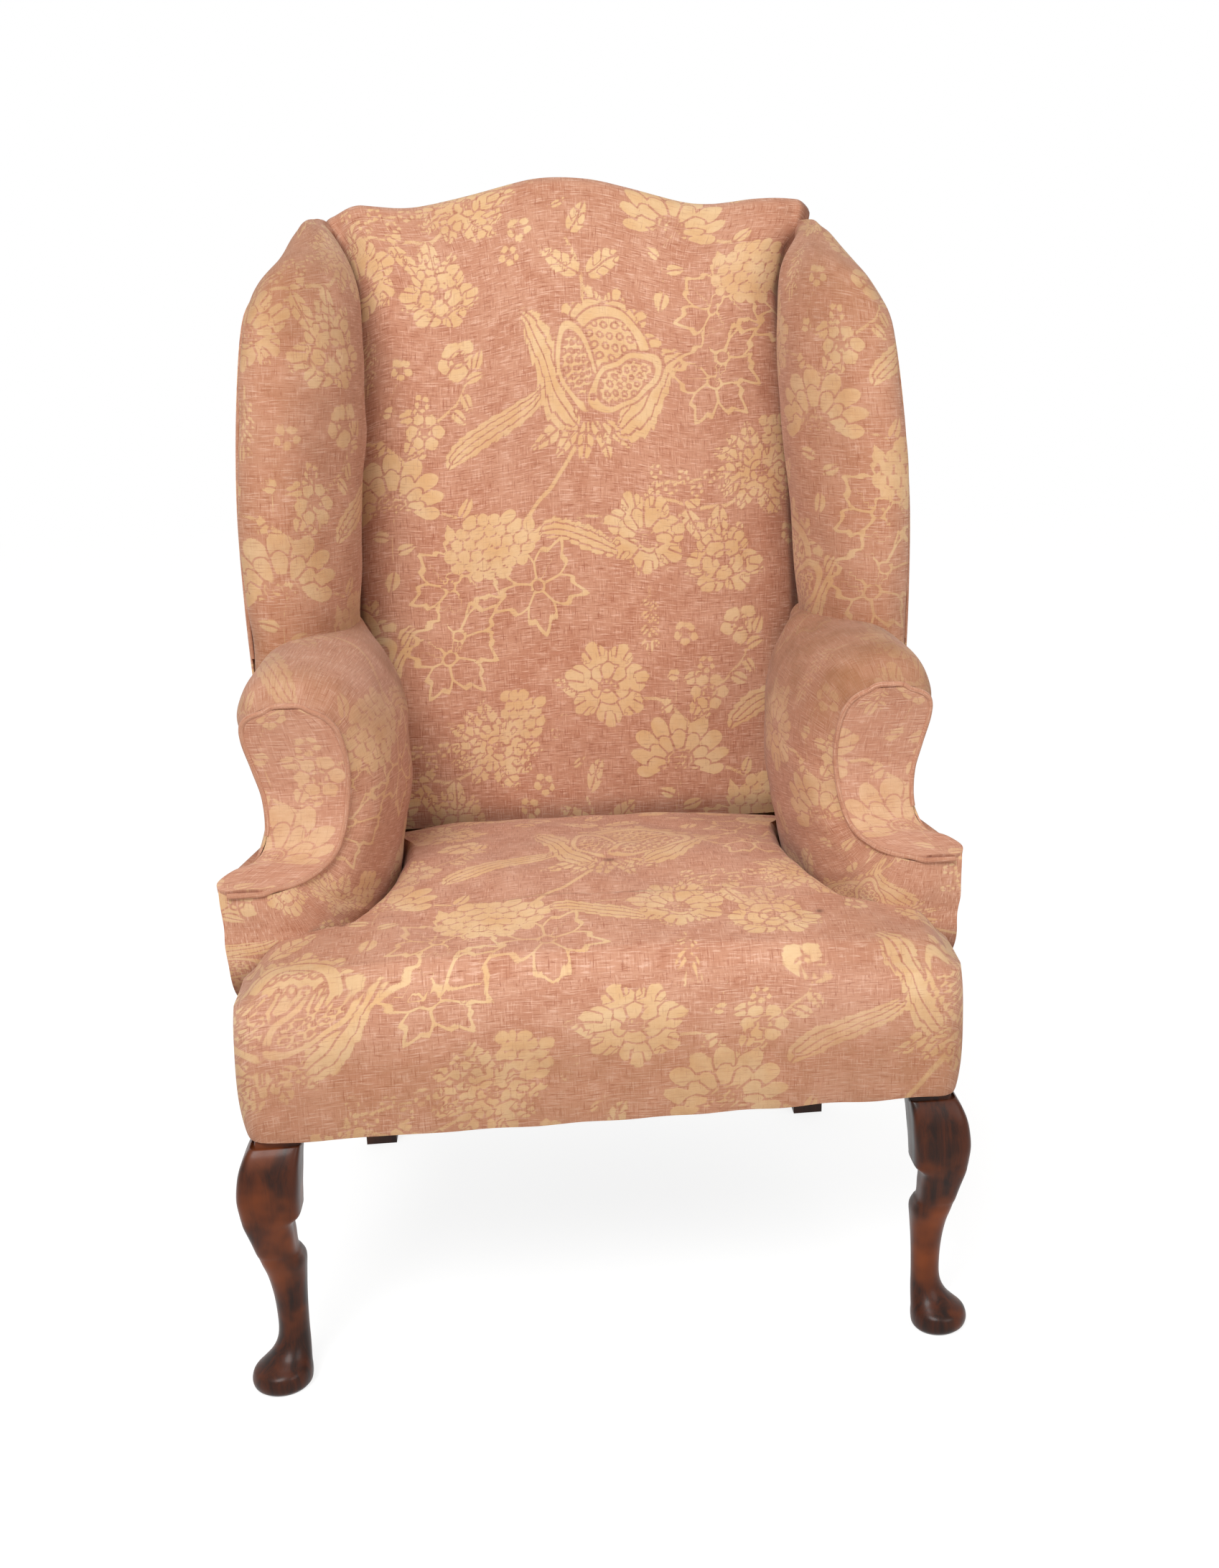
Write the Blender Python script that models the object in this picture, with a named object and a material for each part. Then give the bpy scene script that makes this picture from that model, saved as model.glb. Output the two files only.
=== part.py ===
"""A wing armchair with a serpentine crest, rolled arms, a sprung seat and cabriole front legs.

The chair faces -Y and stands on the XY plane. "left" is the -X side, as seen from the front.
Lengths are metres; the drawn tables of points are millimetres.
"""

import math

import bmesh
import bpy
from mathutils import Vector

MM = 0.001

for old in list(bpy.data.objects):
    bpy.data.objects.remove(old, do_unlink=True)

# Driving dimensions
WIDTH = 0.758               # over the tips of the two arm lips
DEPTH = 0.680               # from the feet's front to the outside back
HEIGHT = 1.217              # top of the hump in the crest
LEG_HEIGHT = 0.266          # floor to the underside of the seat rails
RAIL_HEIGHT = 0.079
RAIL_THICKNESS = 0.028
FRAME_INSET_FRONT = 0.032   # arm tip to the rail's outer face, at the front
FRAME_INSET_BACK = 0.075    # the same at the back, where the seat frame is narrower
FOOT_EDGE = 0.013           # arm tip to the foot's outer edge
LEG_LEAN = 0.006            # how far the leg leans forward from the rail to the floor
POST_WIDTH = 0.046
POST_DEPTH = 0.038
BACK_RAKE = 0.108           # how far the back leans for each metre of rise
ARM_RISE = 0.363            # seat rails' top to the top of the arm pads
SEAT_RISE = 0.083           # the same to the seat pad at its front roll
SEAT_CROWN = 0.044          # how far the seat pad's middle stands above that
EAR_DEPTH = 0.0925          # front rail's face to the front of the arms' lips
ARM_END_ROOM = 0.028        # arm pad's end to the back posts
SPRING_LIFT = 0.062         # how far the springs hold the hessian above the rails
SPRING_SIDE_ROOM = 0.174    # from the frame's back corners in to the outer springs' middles
SPRING_FRONT_ROOM = 0.1568  # from the front rail's face back to the first row of springs
SPRING_BACK_ROOM = 0.1150   # from the back posts' front to the last row
BACK_PAD = 0.033
ARM_PAD = 0.015
WING_PAD = 0.010
CLOTH = 0.0025              # one cover with its lining
CREST_END_DROP = 0.036      # the crest's ends lie this much below its hump
CREST_COVER_DROP = 0.021    # the outside back's top edge lies this much below the crest's top
PIPING_RADIUS = 0.0026
WEBBING_WIDTH = 0.050
WEBBING_THICKNESS = 0.0012
SPRING_RADIUS = 0.036
SPRING_WIRE = 0.0018
GAP = 0.0003                # between pieces that touch

# Stations worked out from the driving dimensions
TIP_X = WIDTH / 2
FRONT_Y = -DEPTH / 2
BACK_Y = DEPTH / 2
RAIL_TOP = LEG_HEIGHT + RAIL_HEIGHT
ARM_HEIGHT = RAIL_TOP + ARM_RISE
SEAT_EDGE_HEIGHT = RAIL_TOP + SEAT_RISE
FOOT_LEVEL = 10             # mm: where the pad foot is widest
RAIL_FRONT_Y = FRONT_Y + FRAME_INSET_FRONT - FOOT_EDGE + LEG_LEAN * (1 - FOOT_LEVEL / 264)
FRAME_X_FRONT = TIP_X - FRAME_INSET_FRONT
FRAME_X_BACK = TIP_X - FRAME_INSET_BACK
POST_FOOT_Y = BACK_Y - CLOTH - GAP - POST_DEPTH - BACK_RAKE * (HEIGHT - CREST_COVER_DROP - RAIL_TOP)
POST_INNER_X = FRAME_X_BACK - POST_WIDTH
LIP_Y = RAIL_FRONT_Y + EAR_DEPTH            # front of the arms' lips, behind the seat's ears
DRAWN_ARM_LENGTH = 0.4015   # the arm tables are drawn for this length and rise, and stretched
DRAWN_ARM_RISE = 0.363
DRAWN_WING_RISE = 0.452
ARM_END_Y = POST_FOOT_Y - ARM_END_ROOM
CREST_END_Z = HEIGHT - CREST_END_DROP


def post_front(z):
    """Front plane of the back posts, which lean back above the seat rails."""
    return POST_FOOT_Y + BACK_RAKE * max(0.0, z - RAIL_TOP)


def frame_half_width(y):
    """Half the seat frame's width over its side rails."""
    share = (y - RAIL_FRONT_Y) / (POST_FOOT_Y - RAIL_FRONT_Y)
    return FRAME_X_FRONT + (FRAME_X_BACK - FRAME_X_FRONT) * share


def arm_point(inward, behind, above):
    """A drawn arm point: mm inward from the lip's tip, behind the lip's front, above the rails."""
    return Vector((
        TIP_X - inward * MM,
        LIP_Y + behind * MM * (ARM_END_Y - LIP_Y) / DRAWN_ARM_LENGTH,
        RAIL_TOP + above * MM * (ARM_HEIGHT - RAIL_TOP) / DRAWN_ARM_RISE,
    ))


def wing_point(inward, behind, above):
    """A drawn wing point: mm inward from the lip's tip, behind the lip's front, above the arm."""
    point = arm_point(inward, behind, 0)
    point.z = ARM_HEIGHT + above * MM * (CREST_END_Z - 0.021 - ARM_HEIGHT) / DRAWN_WING_RISE
    return point


# Curves and meshes

def smooth(points, count):
    """Evenly spaced points along a Catmull-Rom curve through the given ones."""
    last = len(points) - 1
    result = []
    for step in range(count):
        place = step / (count - 1) * last
        i = min(int(place), last - 1)
        t = place - i
        b, c = points[i], points[i + 1]
        a = points[i - 1] if i > 0 else b * 2 - c
        d = points[i + 2] if i + 2 <= last else c * 2 - b
        result.append(0.5 * (b * 2 + (c - a) * t + (a * 2 - b * 5 + c * 4 - d) * t * t
                             + (b * 3 - a - c * 3 + d) * t ** 3))
    return result


def smooth_net(ribs, across, along):
    """A grid of points, across x along, through a net of drawn ribs."""
    rows = [smooth(rib, along) for rib in ribs]
    columns = [smooth([row[j] for row in rows], across) for j in range(along)]
    return [[columns[j][i] for j in range(along)] for i in range(across)]


def material(name, color, roughness, metallic=0.0):
    made = bpy.data.materials.get(name)
    if made is None:
        made = bpy.data.materials.new(name)
        made.use_nodes = True
        shader = made.node_tree.nodes["Principled BSDF"]
        shader.inputs["Base Color"].default_value = (*color, 1.0)
        shader.inputs["Roughness"].default_value = roughness
        shader.inputs["Metallic"].default_value = metallic
    return made


DAMASK = material("rose_damask", (0.54, 0.25, 0.18), 0.9)
WALNUT = material("dark_walnut", (0.12, 0.035, 0.015), 0.3)
BEECH = material("beech", (0.55, 0.38, 0.22), 0.6)
JUTE = material("jute", (0.42, 0.30, 0.17), 0.95)
STEEL = material("spring_steel", (0.35, 0.30, 0.26), 0.45, 1.0)
BLACK_CLOTH = material("black_lining", (0.03, 0.028, 0.027), 0.95)


def add_mesh(name, points, faces, surface, smooth_angle=35):
    """One closed object from points and faces, with its faces turned outward."""
    mesh = bpy.data.meshes.new(name)
    mesh.from_pydata([tuple(point) for point in points], [], faces)
    work = bmesh.new()
    work.from_mesh(mesh)
    bmesh.ops.recalc_face_normals(work, faces=work.faces)
    work.to_mesh(mesh)
    work.free()
    mesh.shade_smooth()
    mesh.set_sharp_from_angle(angle=math.radians(smooth_angle))
    mesh.materials.append(surface)
    made = bpy.data.objects.new(name, mesh)
    bpy.context.scene.collection.objects.link(made)
    return made


def loft(name, sections, surface, closed=False, smooth_angle=35):
    """A solid through sections of equal point counts, capped at both ends unless closed."""
    size = len(sections[0])
    points = [point for section in sections for point in section]
    faces = []
    spans = len(sections) if closed else len(sections) - 1
    for i in range(spans):
        below = i * size
        above = (i + 1) % len(sections) * size
        for j in range(size):
            k = (j + 1) % size
            faces.append((below + j, below + k, above + k, above + j))
    if not closed:
        faces.append(tuple(range(size)))
        faces.append(tuple(range(len(points) - size, len(points))))
    return add_mesh(name, points, faces, surface, smooth_angle)


def rectangle(x0, x1, y0, y1, z):
    return [Vector((x0, y0, z)), Vector((x1, y0, z)), Vector((x1, y1, z)), Vector((x0, y1, z))]


def upright(x0, x1, z0, z1, y):
    return [Vector((x0, y, z0)), Vector((x1, y, z0)), Vector((x1, y, z1)), Vector((x0, y, z1))]


def grown(section, extra):
    """A convex section with each point moved away from its middle by extra along both of its axes."""
    middle = sum(section, Vector()) / len(section)
    result = []
    for point in section:
        offset = point - middle
        result.append(point + Vector([math.copysign(extra, c) if abs(c) > 1e-6 else 0.0 for c in offset]))
    return result


def mirrored(sections, sign):
    return [[Vector((sign * p.x, p.y, p.z)) for p in section] for section in sections]


def grid_normals(grid, outward):
    """Unit normals of a grid, on the side where outward(first normal) is positive."""
    rows, columns = len(grid), len(grid[0])
    normals = []
    for i in range(rows):
        line = []
        for j in range(columns):
            across = grid[min(i + 1, rows - 1)][j] - grid[max(i - 1, 0)][j]
            along = grid[i][min(j + 1, columns - 1)] - grid[i][max(j - 1, 0)]
            line.append(across.cross(along).normalized() * outward)
        normals.append(line)
    return normals


def shell(name, grid, outward, thickness, surface, grow=0.0, setback=0.0):
    """A pad or a sheet: the grid as its outer side and a second side one thickness inside it.

    grow moves the outer side out; setback moves the inner side's first edge along the ribs.
    """
    rows, columns = len(grid), len(grid[0])
    normals = grid_normals(grid, outward)
    points = []
    for i in range(rows):
        for j in range(columns):
            points.append(grid[i][j] + normals[i][j] * grow)
    for i in range(rows):
        for j in range(columns):
            inner = grid[i][j] - normals[i][j] * thickness
            if j == 0:
                inner += (grid[i][1] - grid[i][0]).normalized() * setback
            points.append(inner)
    faces = []
    inside = rows * columns
    for i in range(rows - 1):
        for j in range(columns - 1):
            a, b = i * columns + j, i * columns + j + 1
            c, d = b + columns, a + columns
            faces.append((a, b, c, d))
            faces.append((inside + d, inside + c, inside + b, inside + a))
    rim = [j for j in range(columns)]
    rim += [i * columns + columns - 1 for i in range(1, rows)]
    rim += [(rows - 1) * columns + j for j in range(columns - 2, -1, -1)]
    rim += [i * columns for i in range(rows - 2, 0, -1)]
    for a, b in zip(rim, rim[1:] + rim[:1]):
        faces.append((a, inside + a, inside + b, b))
    return add_mesh(name, points, faces, surface)


def tube(name, path, radius, surface, sides=8):
    """A round cord along a path, with flat ends."""
    sections = []
    side = None
    for i, point in enumerate(path):
        ahead = (path[min(i + 1, len(path) - 1)] - path[max(i - 1, 0)]).normalized()
        if side is None:
            side = ahead.orthogonal().normalized()
        side = (side - ahead * side.dot(ahead)).normalized()
        up = ahead.cross(side)
        ring = []
        for k in range(sides):
            turn = 2 * math.pi * k / sides
            ring.append(point + (side * math.cos(turn) + up * math.sin(turn)) * radius)
        sections.append(ring)
    return loft(name, sections, surface)


def lengthened(path, extra):
    start = path[0] + (path[0] - path[1]).normalized() * extra
    end = path[-1] + (path[-1] - path[-2]).normalized() * extra
    return [start] + path[1:-1] + [end]


def cut(made, cutter):
    """Take the cutter's space out of an object, then drop the cutter."""
    modifier = made.modifiers.new("fit", "BOOLEAN")
    modifier.operation = "DIFFERENCE"
    modifier.solver = "EXACT"
    modifier.object = cutter
    cutter.hide_render = True
    cutter.display_type = "WIRE"


SIDES = (("left", -1), ("right", 1))


# Front legs: cabriole, with a square block that takes the rails' tenons

LEG_BLOCK = 0.045
# height, inner face and outer face in mm inward from the arm tip, and corner roundness 0 to 1
LEG_LEVELS = [
    (345, 77, 32, 0.05), (264, 77, 32, 0.05), (258, 76, 27, 0.10), (250, 75, 22, 0.18), (238, 74, 17, 0.28),
    (225, 73.5, 14, 0.38), (208, 72.5, 12.5, 0.45), (192, 72, 14, 0.5), (186, 71, 15, 0.5), (178, 63.5, 17, 0.5),
    (160, 64, 22, 0.55), (146, 65, 25.5, 0.6), (140, 68, 27.5, 0.6), (131, 71.5, 29.5, 0.65),
    (116, 71, 33.5, 0.75), (96, 70, 37, 0.85), (76, 69.5, 39, 0.92), (55, 69.5, 39.5, 0.96),
    (42, 70, 37, 1.0), (32, 70.5, 31, 1.0), (25, 71, 23, 1.0), (20, 71.5, 16.5, 1.0), (16, 72, 14, 1.0),
    (10, 72, 13, 1.0), (4, 71, 14.5, 1.0), (0, 68, 18.5, 1.0),
]
CORNER_STEPS = 3


def leg_section(level, inner, outer, roundness):
    """A square with rounded corners that becomes a circle, set out towards the front corner."""
    low, high = outer * MM, inner * MM
    x_outer, x_inner = TIP_X - low, TIP_X - high
    height = level * MM * RAIL_TOP / 0.345
    lean = LEG_LEAN * (1 - min(1, level / 264))
    shift = FRAME_X_FRONT + RAIL_FRONT_Y - lean
    half = (x_outer - x_inner) / 2
    centre_x = (x_outer + x_inner) / 2
    centre_y = -(centre_x - shift)
    radius = half * max(roundness, 0.04)
    ring = []
    for corner, (sx, sy) in enumerate(((1, 1), (-1, 1), (-1, -1), (1, -1))):
        for step in range(CORNER_STEPS):
            turn = math.pi / 2 * (corner + step / (CORNER_STEPS - 1 + 0.5 * (roundness > 0.9)))
            ring.append(Vector((
                centre_x + sx * (half - radius) + radius * math.cos(turn),
                centre_y + sy * (half - radius) + radius * math.sin(turn),
                height,
            )))
    return ring


for side, sign in SIDES:
    sections = [leg_section(*level) for level in LEG_LEVELS]
    loft("front_leg_" + side, mirrored(sections, sign), WALNUT)


# Seat frame: four rails and four corner blocks

BLOCK_BACK_Y = RAIL_FRONT_Y + LEG_BLOCK
RAIL_BACK_Y = POST_FOOT_Y + RAIL_THICKNESS
block_inner_x = FRAME_X_FRONT - LEG_BLOCK
loft("front_seat_rail", [
    upright(-block_inner_x + GAP, block_inner_x - GAP, LEG_HEIGHT, RAIL_TOP, RAIL_FRONT_Y),
    upright(-block_inner_x + GAP, block_inner_x - GAP, LEG_HEIGHT, RAIL_TOP, RAIL_FRONT_Y + RAIL_THICKNESS),
], BEECH)
loft("back_seat_rail", [
    upright(-POST_INNER_X + GAP, POST_INNER_X - GAP, LEG_HEIGHT, RAIL_TOP, POST_FOOT_Y),
    upright(-POST_INNER_X + GAP, POST_INNER_X - GAP, LEG_HEIGHT, RAIL_TOP, RAIL_BACK_Y),
], BEECH)
for side, sign in SIDES:
    ends = []
    for y in (BLOCK_BACK_Y + GAP, POST_FOOT_Y - GAP):
        outer = frame_half_width(y)
        ends.append(upright(outer - RAIL_THICKNESS, outer, LEG_HEIGHT, RAIL_TOP, y))
    loft("side_seat_rail_" + side, mirrored(ends, sign), BEECH)

CORNER_BLOCK = 0.065
BLOCK_DROP = 0.012          # the corner blocks stop this far below the rails' top
for side, sign in SIDES:
    front_face = RAIL_FRONT_Y + RAIL_THICKNESS + GAP
    back_face = POST_FOOT_Y - GAP
    notch_y = BLOCK_BACK_Y + GAP
    front_y = notch_y + CORNER_BLOCK
    back_y = back_face - CORNER_BLOCK
    outlines = {
        "front_corner_block_": [
            (block_inner_x - CORNER_BLOCK, front_face), (block_inner_x - GAP, front_face),
            (block_inner_x - GAP, notch_y), (frame_half_width(notch_y) - RAIL_THICKNESS - GAP, notch_y),
            (frame_half_width(front_y) - RAIL_THICKNESS - GAP, front_y)],
        "back_corner_block_": [
            (POST_INNER_X - CORNER_BLOCK, back_face),
            (frame_half_width(back_face) - RAIL_THICKNESS - GAP, back_face),
            (frame_half_width(back_y) - RAIL_THICKNESS - GAP, back_y)],
    }
    for name, outline in outlines.items():
        levels = []
        for z in (LEG_HEIGHT, RAIL_TOP - BLOCK_DROP):
            levels.append([Vector((x, y, z)) for x, y in outline])
        loft(name + side, mirrored(levels, sign), BEECH)


# Back posts, each one piece with its rear leg, and the rails between them

REAR_FOOT_SET = 0.006       # the rear foot stands this far behind the rail's line
REAR_FOOT_TAPER = 0.004
CREST_RAIL_HEIGHT = 0.062
POST_TOP = CREST_END_Z - CREST_RAIL_HEIGHT - 0.018
for side, sign in SIDES:
    sections = []
    for z, taper in ((0.0, REAR_FOOT_TAPER), (LEG_HEIGHT, 0.0), (RAIL_TOP, 0.0), (POST_TOP, 0.0)):
        y = post_front(z) + REAR_FOOT_SET * max(0.0, 1 - z / LEG_HEIGHT)
        inner, outer = POST_INNER_X + taper, FRAME_X_BACK - taper
        sections.append(rectangle(inner, outer, y + taper, y + POST_DEPTH - taper, z))
    loft("back_post_" + side, mirrored(sections, sign), BEECH)

STUFFING_RAIL_BOTTOM = RAIL_TOP + 0.075
STUFFING_RAIL_TOP = STUFFING_RAIL_BOTTOM + 0.045
BACK_RAIL_DEPTH = 0.024
loft("back_stuffing_rail", [
    rectangle(-POST_INNER_X + GAP, POST_INNER_X - GAP, post_front(z) + GAP, post_front(z) + BACK_RAIL_DEPTH, z)
    for z in (STUFFING_RAIL_BOTTOM, STUFFING_RAIL_TOP)], BEECH)

# half of the crest's outline, mm from the middle and mm below the hump
CREST_LINE = [
    (0, 0), (36, 2), (70, 10), (105, 19), (140, 28), (170, 34), (195, 36), (225, 34), (260, 32), (290, 33),
]


def crest_drop(x):
    """How far the crest's top lies below its hump, at a distance x from the middle."""
    place = abs(x) / FRAME_X_BACK * 0.304 / MM
    for (x0, z0), (x1, z1) in zip(CREST_LINE, CREST_LINE[1:]):
        if place <= x1:
            share = (place - x0) / (x1 - x0)
            ease = share * share * (3 - 2 * share)
            return (z0 + (z1 - z0) * (0.5 * share + 0.5 * ease)) * MM
    return CREST_LINE[-1][1] * MM


def crest_top(x):
    """Height of the padded crest, whose ends are rounded off."""
    end = max(0.0, abs(x) - FRAME_X_BACK + CREST_END_LENGTH) / CREST_END_LENGTH
    return HEIGHT - crest_drop(x) - CREST_END_FALL * end ** 2


# half width of the pad in mm inward from the frame's back corner, against mm below the crest's end
BACK_SIDE = [(750, 34), (540, 33), (441, 29), (341, 31), (241, 37), (170, 42), (100, 43), (50, 28), (20, 6), (0, 0)]


def back_half_width(z):
    below = (CREST_END_Z - z) / MM
    for (b0, a0), (b1, a1) in zip(BACK_SIDE, BACK_SIDE[1:]):
        if below >= b1:
            share = min(1.0, max(0.0, (b0 - below) / (b0 - b1)))
            return FRAME_X_BACK - (a0 + (a1 - a0) * share) * MM
    return FRAME_X_BACK - BACK_SIDE[-1][1] * MM


CREST_ROUND = 0.018         # radius of the pad's roll over the crest rail
CREST_PAD = 0.0055          # from the roll's start down to the rail
CREST_END_LENGTH = 0.018    # the crest's ends are rounded off over this length, and fall by the next
CREST_END_FALL = 0.014
CREST_BACK_SET = 0.012      # the rail's top lies this far in front of the posts' back
CREST_STATIONS = 17


sections = []
for step in range(CREST_STATIONS):
    share = 2 * step / (CREST_STATIONS - 1) - 1
    top = crest_top(share * FRAME_X_BACK) - CREST_ROUND - CREST_PAD
    low = POST_TOP + GAP
    high_x, low_x = share * back_half_width(top), share * back_half_width(low)
    sections.append([
        Vector((low_x, post_front(low), low)),
        Vector((low_x, post_front(low) + POST_DEPTH, low)),
        Vector((high_x, post_front(top) + POST_DEPTH - CREST_BACK_SET, top)),
        Vector((high_x, post_front(top), top)),
    ])
loft("crest_rail", sections, BEECH)


# Arm: the profile that the facing, the post and the piping share, seen from the side

# mm behind the lip's front, mm above the rails, then the facing's inner and outer edge in mm inward
FACING = [
    (1.0, 141.5, 45, 9), (5, 144, 68, 0), (15, 149, 87, -1), (27, 156, 100, 12), (36, 161, 107, 31),
    (50, 172, 114, 40), (58, 194, 120.5, 44), (61.5, 225, 125, 42), (57, 255, 126.5, 35),
    (47.5, 290, 121, 27.5), (40.5, 310, 109, 32), (36.5, 321, 88, 58),
]
FACING_STEPS = 26
FACING_LIFT = 0.0005        # between the facing's back and the profile
FACING_THICKNESS = 0.003
FACING_MARGIN = 0.0052      # room for the piping at the facing's edge


def facing_lines(count):
    """The facing's inner and outer edges on the arm's front profile."""
    inner = smooth([arm_point(a, y, z) for y, z, a, b in FACING], count)
    outer = smooth([arm_point(b, y, z) for y, z, a, b in FACING], count)
    return inner, outer


def facing_grid(spread=0.0):
    inner, outer = facing_lines(FACING_STEPS)
    rows = []
    for i in range(FACING_STEPS):
        across = outer[i] - inner[i]
        way = across.normalized()
        margin = min(FACING_MARGIN, across.length * 0.3)
        start, end = inner[i] + way * (margin - spread), outer[i] - way * (margin * 0.2 - spread)
        rows.append([start.lerp(end, share) for share in (0, 0.25, 0.5, 0.75, 1)])
    trim = 1 if rows[0][0].y < LIP_Y + FACING_MARGIN else 0
    rows = rows[trim:-1]
    first = [a + (a - b).normalized() * spread for a, b in zip(rows[0], rows[1])]
    last = [a + (a - b).normalized() * spread for a, b in zip(rows[-1], rows[-2])]
    return [first] + rows[1:-1] + [last]


# Arm pad: ribs from the piping to the chair's back, from under the scroll round to the lip's tip
ARM_RIBS = [
    [(36, 56, 257), (33, 92, 261), (34, 221, 261), (46, 301, 261), (62, 392, 261)],
    [(27, 43, 300), (19, 87, 305), (21, 221, 309), (34, 301, 309), (55, 392, 308)],
    [(43, 37, 318), (36, 82, 345), (40, 221, 350), (51, 301, 350), (67, 392, 348)],
    [(76, 35, 323), (81, 80, 354), (89, 201, 363), (94, 301, 363), (99, 396, 361)],
    [(109, 40, 310), (127, 82, 337), (139, 201, 345), (137, 301, 348), (121, 398, 345)],
    [(126, 53, 270), (153, 93, 285), (171, 201, 290), (164, 301, 293), (132, 396, 293)],
    [(126, 61, 225), (155, 99, 227), (176, 201, 230), (169, 301, 230), (134, 391, 230)],
    [(117, 55, 185), (147, 91, 175), (169, 201, 160), (166, 301, 155), (133, 386, 155)],
    [(95, 24, 155), (121, 46, 125), (151, 131, 95), (157, 221, 82), (132, 380, 72)],
    [(82, 12, 148), (107, 27, 118), (133, 71, 84), (147, 140, 70), (153, 225, 66)],
    [(67, 2, 143), (81, 3, 115), (104, 16, 78), (117, 32, 62), (127, 60, 58)],
    [(40, 0, 139), (43, -1, 112), (52, -1, 74), (60, 0, 38), (68, 1, 6)],
    [(0, 4, 147), (1, 3, 112), (4, 2, 74), (10, 2, 38), (27, 2, 6)],
]
ARM_ACROSS = 29
ARM_ALONG = 9
ARM_SETBACK = 0.012


def arm_grid():
    ribs = [[arm_point(*point) for point in rib] for rib in ARM_RIBS]
    return smooth_net(ribs, ARM_ACROSS, ARM_ALONG)


def arm_space(name, grid, sign):
    """The room that the arm takes up, a little larger than its pad, as a filled cutter."""
    normals = grid_normals(grid, -1)
    count = len(grid)
    loops = []
    for j in range(len(grid[0])):
        loops.append([grid[i][j] + normals[i][j] * GAP for i in range(count)])
    points = [Vector((sign * p.x, p.y, p.z)) for loop in loops for p in loop]
    faces = []
    for j in range(len(loops) - 1):
        for i in range(count):
            k = (i + 1) % count
            faces.append((j * count + i, j * count + k, (j + 1) * count + k, (j + 1) * count + i))
    for base in (0, (len(loops) - 1) * count):
        middle = sum(points[base:base + count], Vector()) / count
        points.append(Vector((sign * (TIP_X - 0.05), middle.y, middle.z)))
        for i in range(count):
            faces.append((base + i, base + (i + 1) % count, len(points) - 1))
    return add_mesh(name, points, faces, BEECH)


def arm_room(name, grid, sign):
    """The arm pad itself, a little larger all round, as a second cutter."""
    longer = []
    for row in grid:
        longer.append(row + [row[-1] + (row[-1] - row[-2]).normalized() * 0.003])
    return shell(name, arm_side(longer, sign), -sign, ARM_PAD + GAP * 2, BEECH, grow=GAP * 2)


def arm_side(grid, sign):
    return [[Vector((sign * p.x, p.y, p.z)) for p in row] for row in grid]


ARM_POST_WIDTH = 0.030
ARM_POST_DEPTH = 0.026
ARM_POST_FOOT = 0.017       # width of its foot on the seat rail
ARM_RAIL_TOP = RAIL_TOP + 0.795 * (ARM_HEIGHT - RAIL_TOP)
ARM_RAIL_HEIGHT = 0.030
ARM_RAIL_WIDTH = 0.026
POST_FOOT_INSET = 0.024     # lip's front to the post's front, below the lip


def facing_y(z):
    """The arm front's profile: how far back it lies at height z, above the lip."""
    points = [arm_point(0, y, h) for y, h, a, b in FACING[3:]]
    for low, high in zip(points, points[1:]):
        if z <= high.z:
            share = max(0.0, (z - low.z) / (high.z - low.z))
            return low.y + (high.y - low.y) * share
    return points[-1].y


def arm_frame_x(y):
    """Middle of the arm rail, which runs inwards to the back post."""
    share = (y - LIP_Y) / (ARM_END_Y - LIP_Y)
    front, back = TIP_X - 0.067, FRAME_X_BACK - ARM_RAIL_WIDTH / 2 - 0.002
    return front + (back - front) * share


def piping_path():
    """From the lip's tip along the facing's inner edge and over the scroll, just in front of it."""
    inner, outer = facing_lines(22)
    path = []
    for i, point in enumerate(inner):
        along = inner[min(i + 1, len(inner) - 1)] - inner[max(i - 1, 0)]
        outward = Vector((0, -along.z, along.y)).normalized()
        if i == 0:
            path.append(outer[0] + outward * (PIPING_RADIUS + GAP * 2))
        path.append(point + outward * (PIPING_RADIUS + GAP * 2))
    path.append(outer[-1] + Vector((0, -PIPING_RADIUS - GAP * 2, 0)))
    return path


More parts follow.
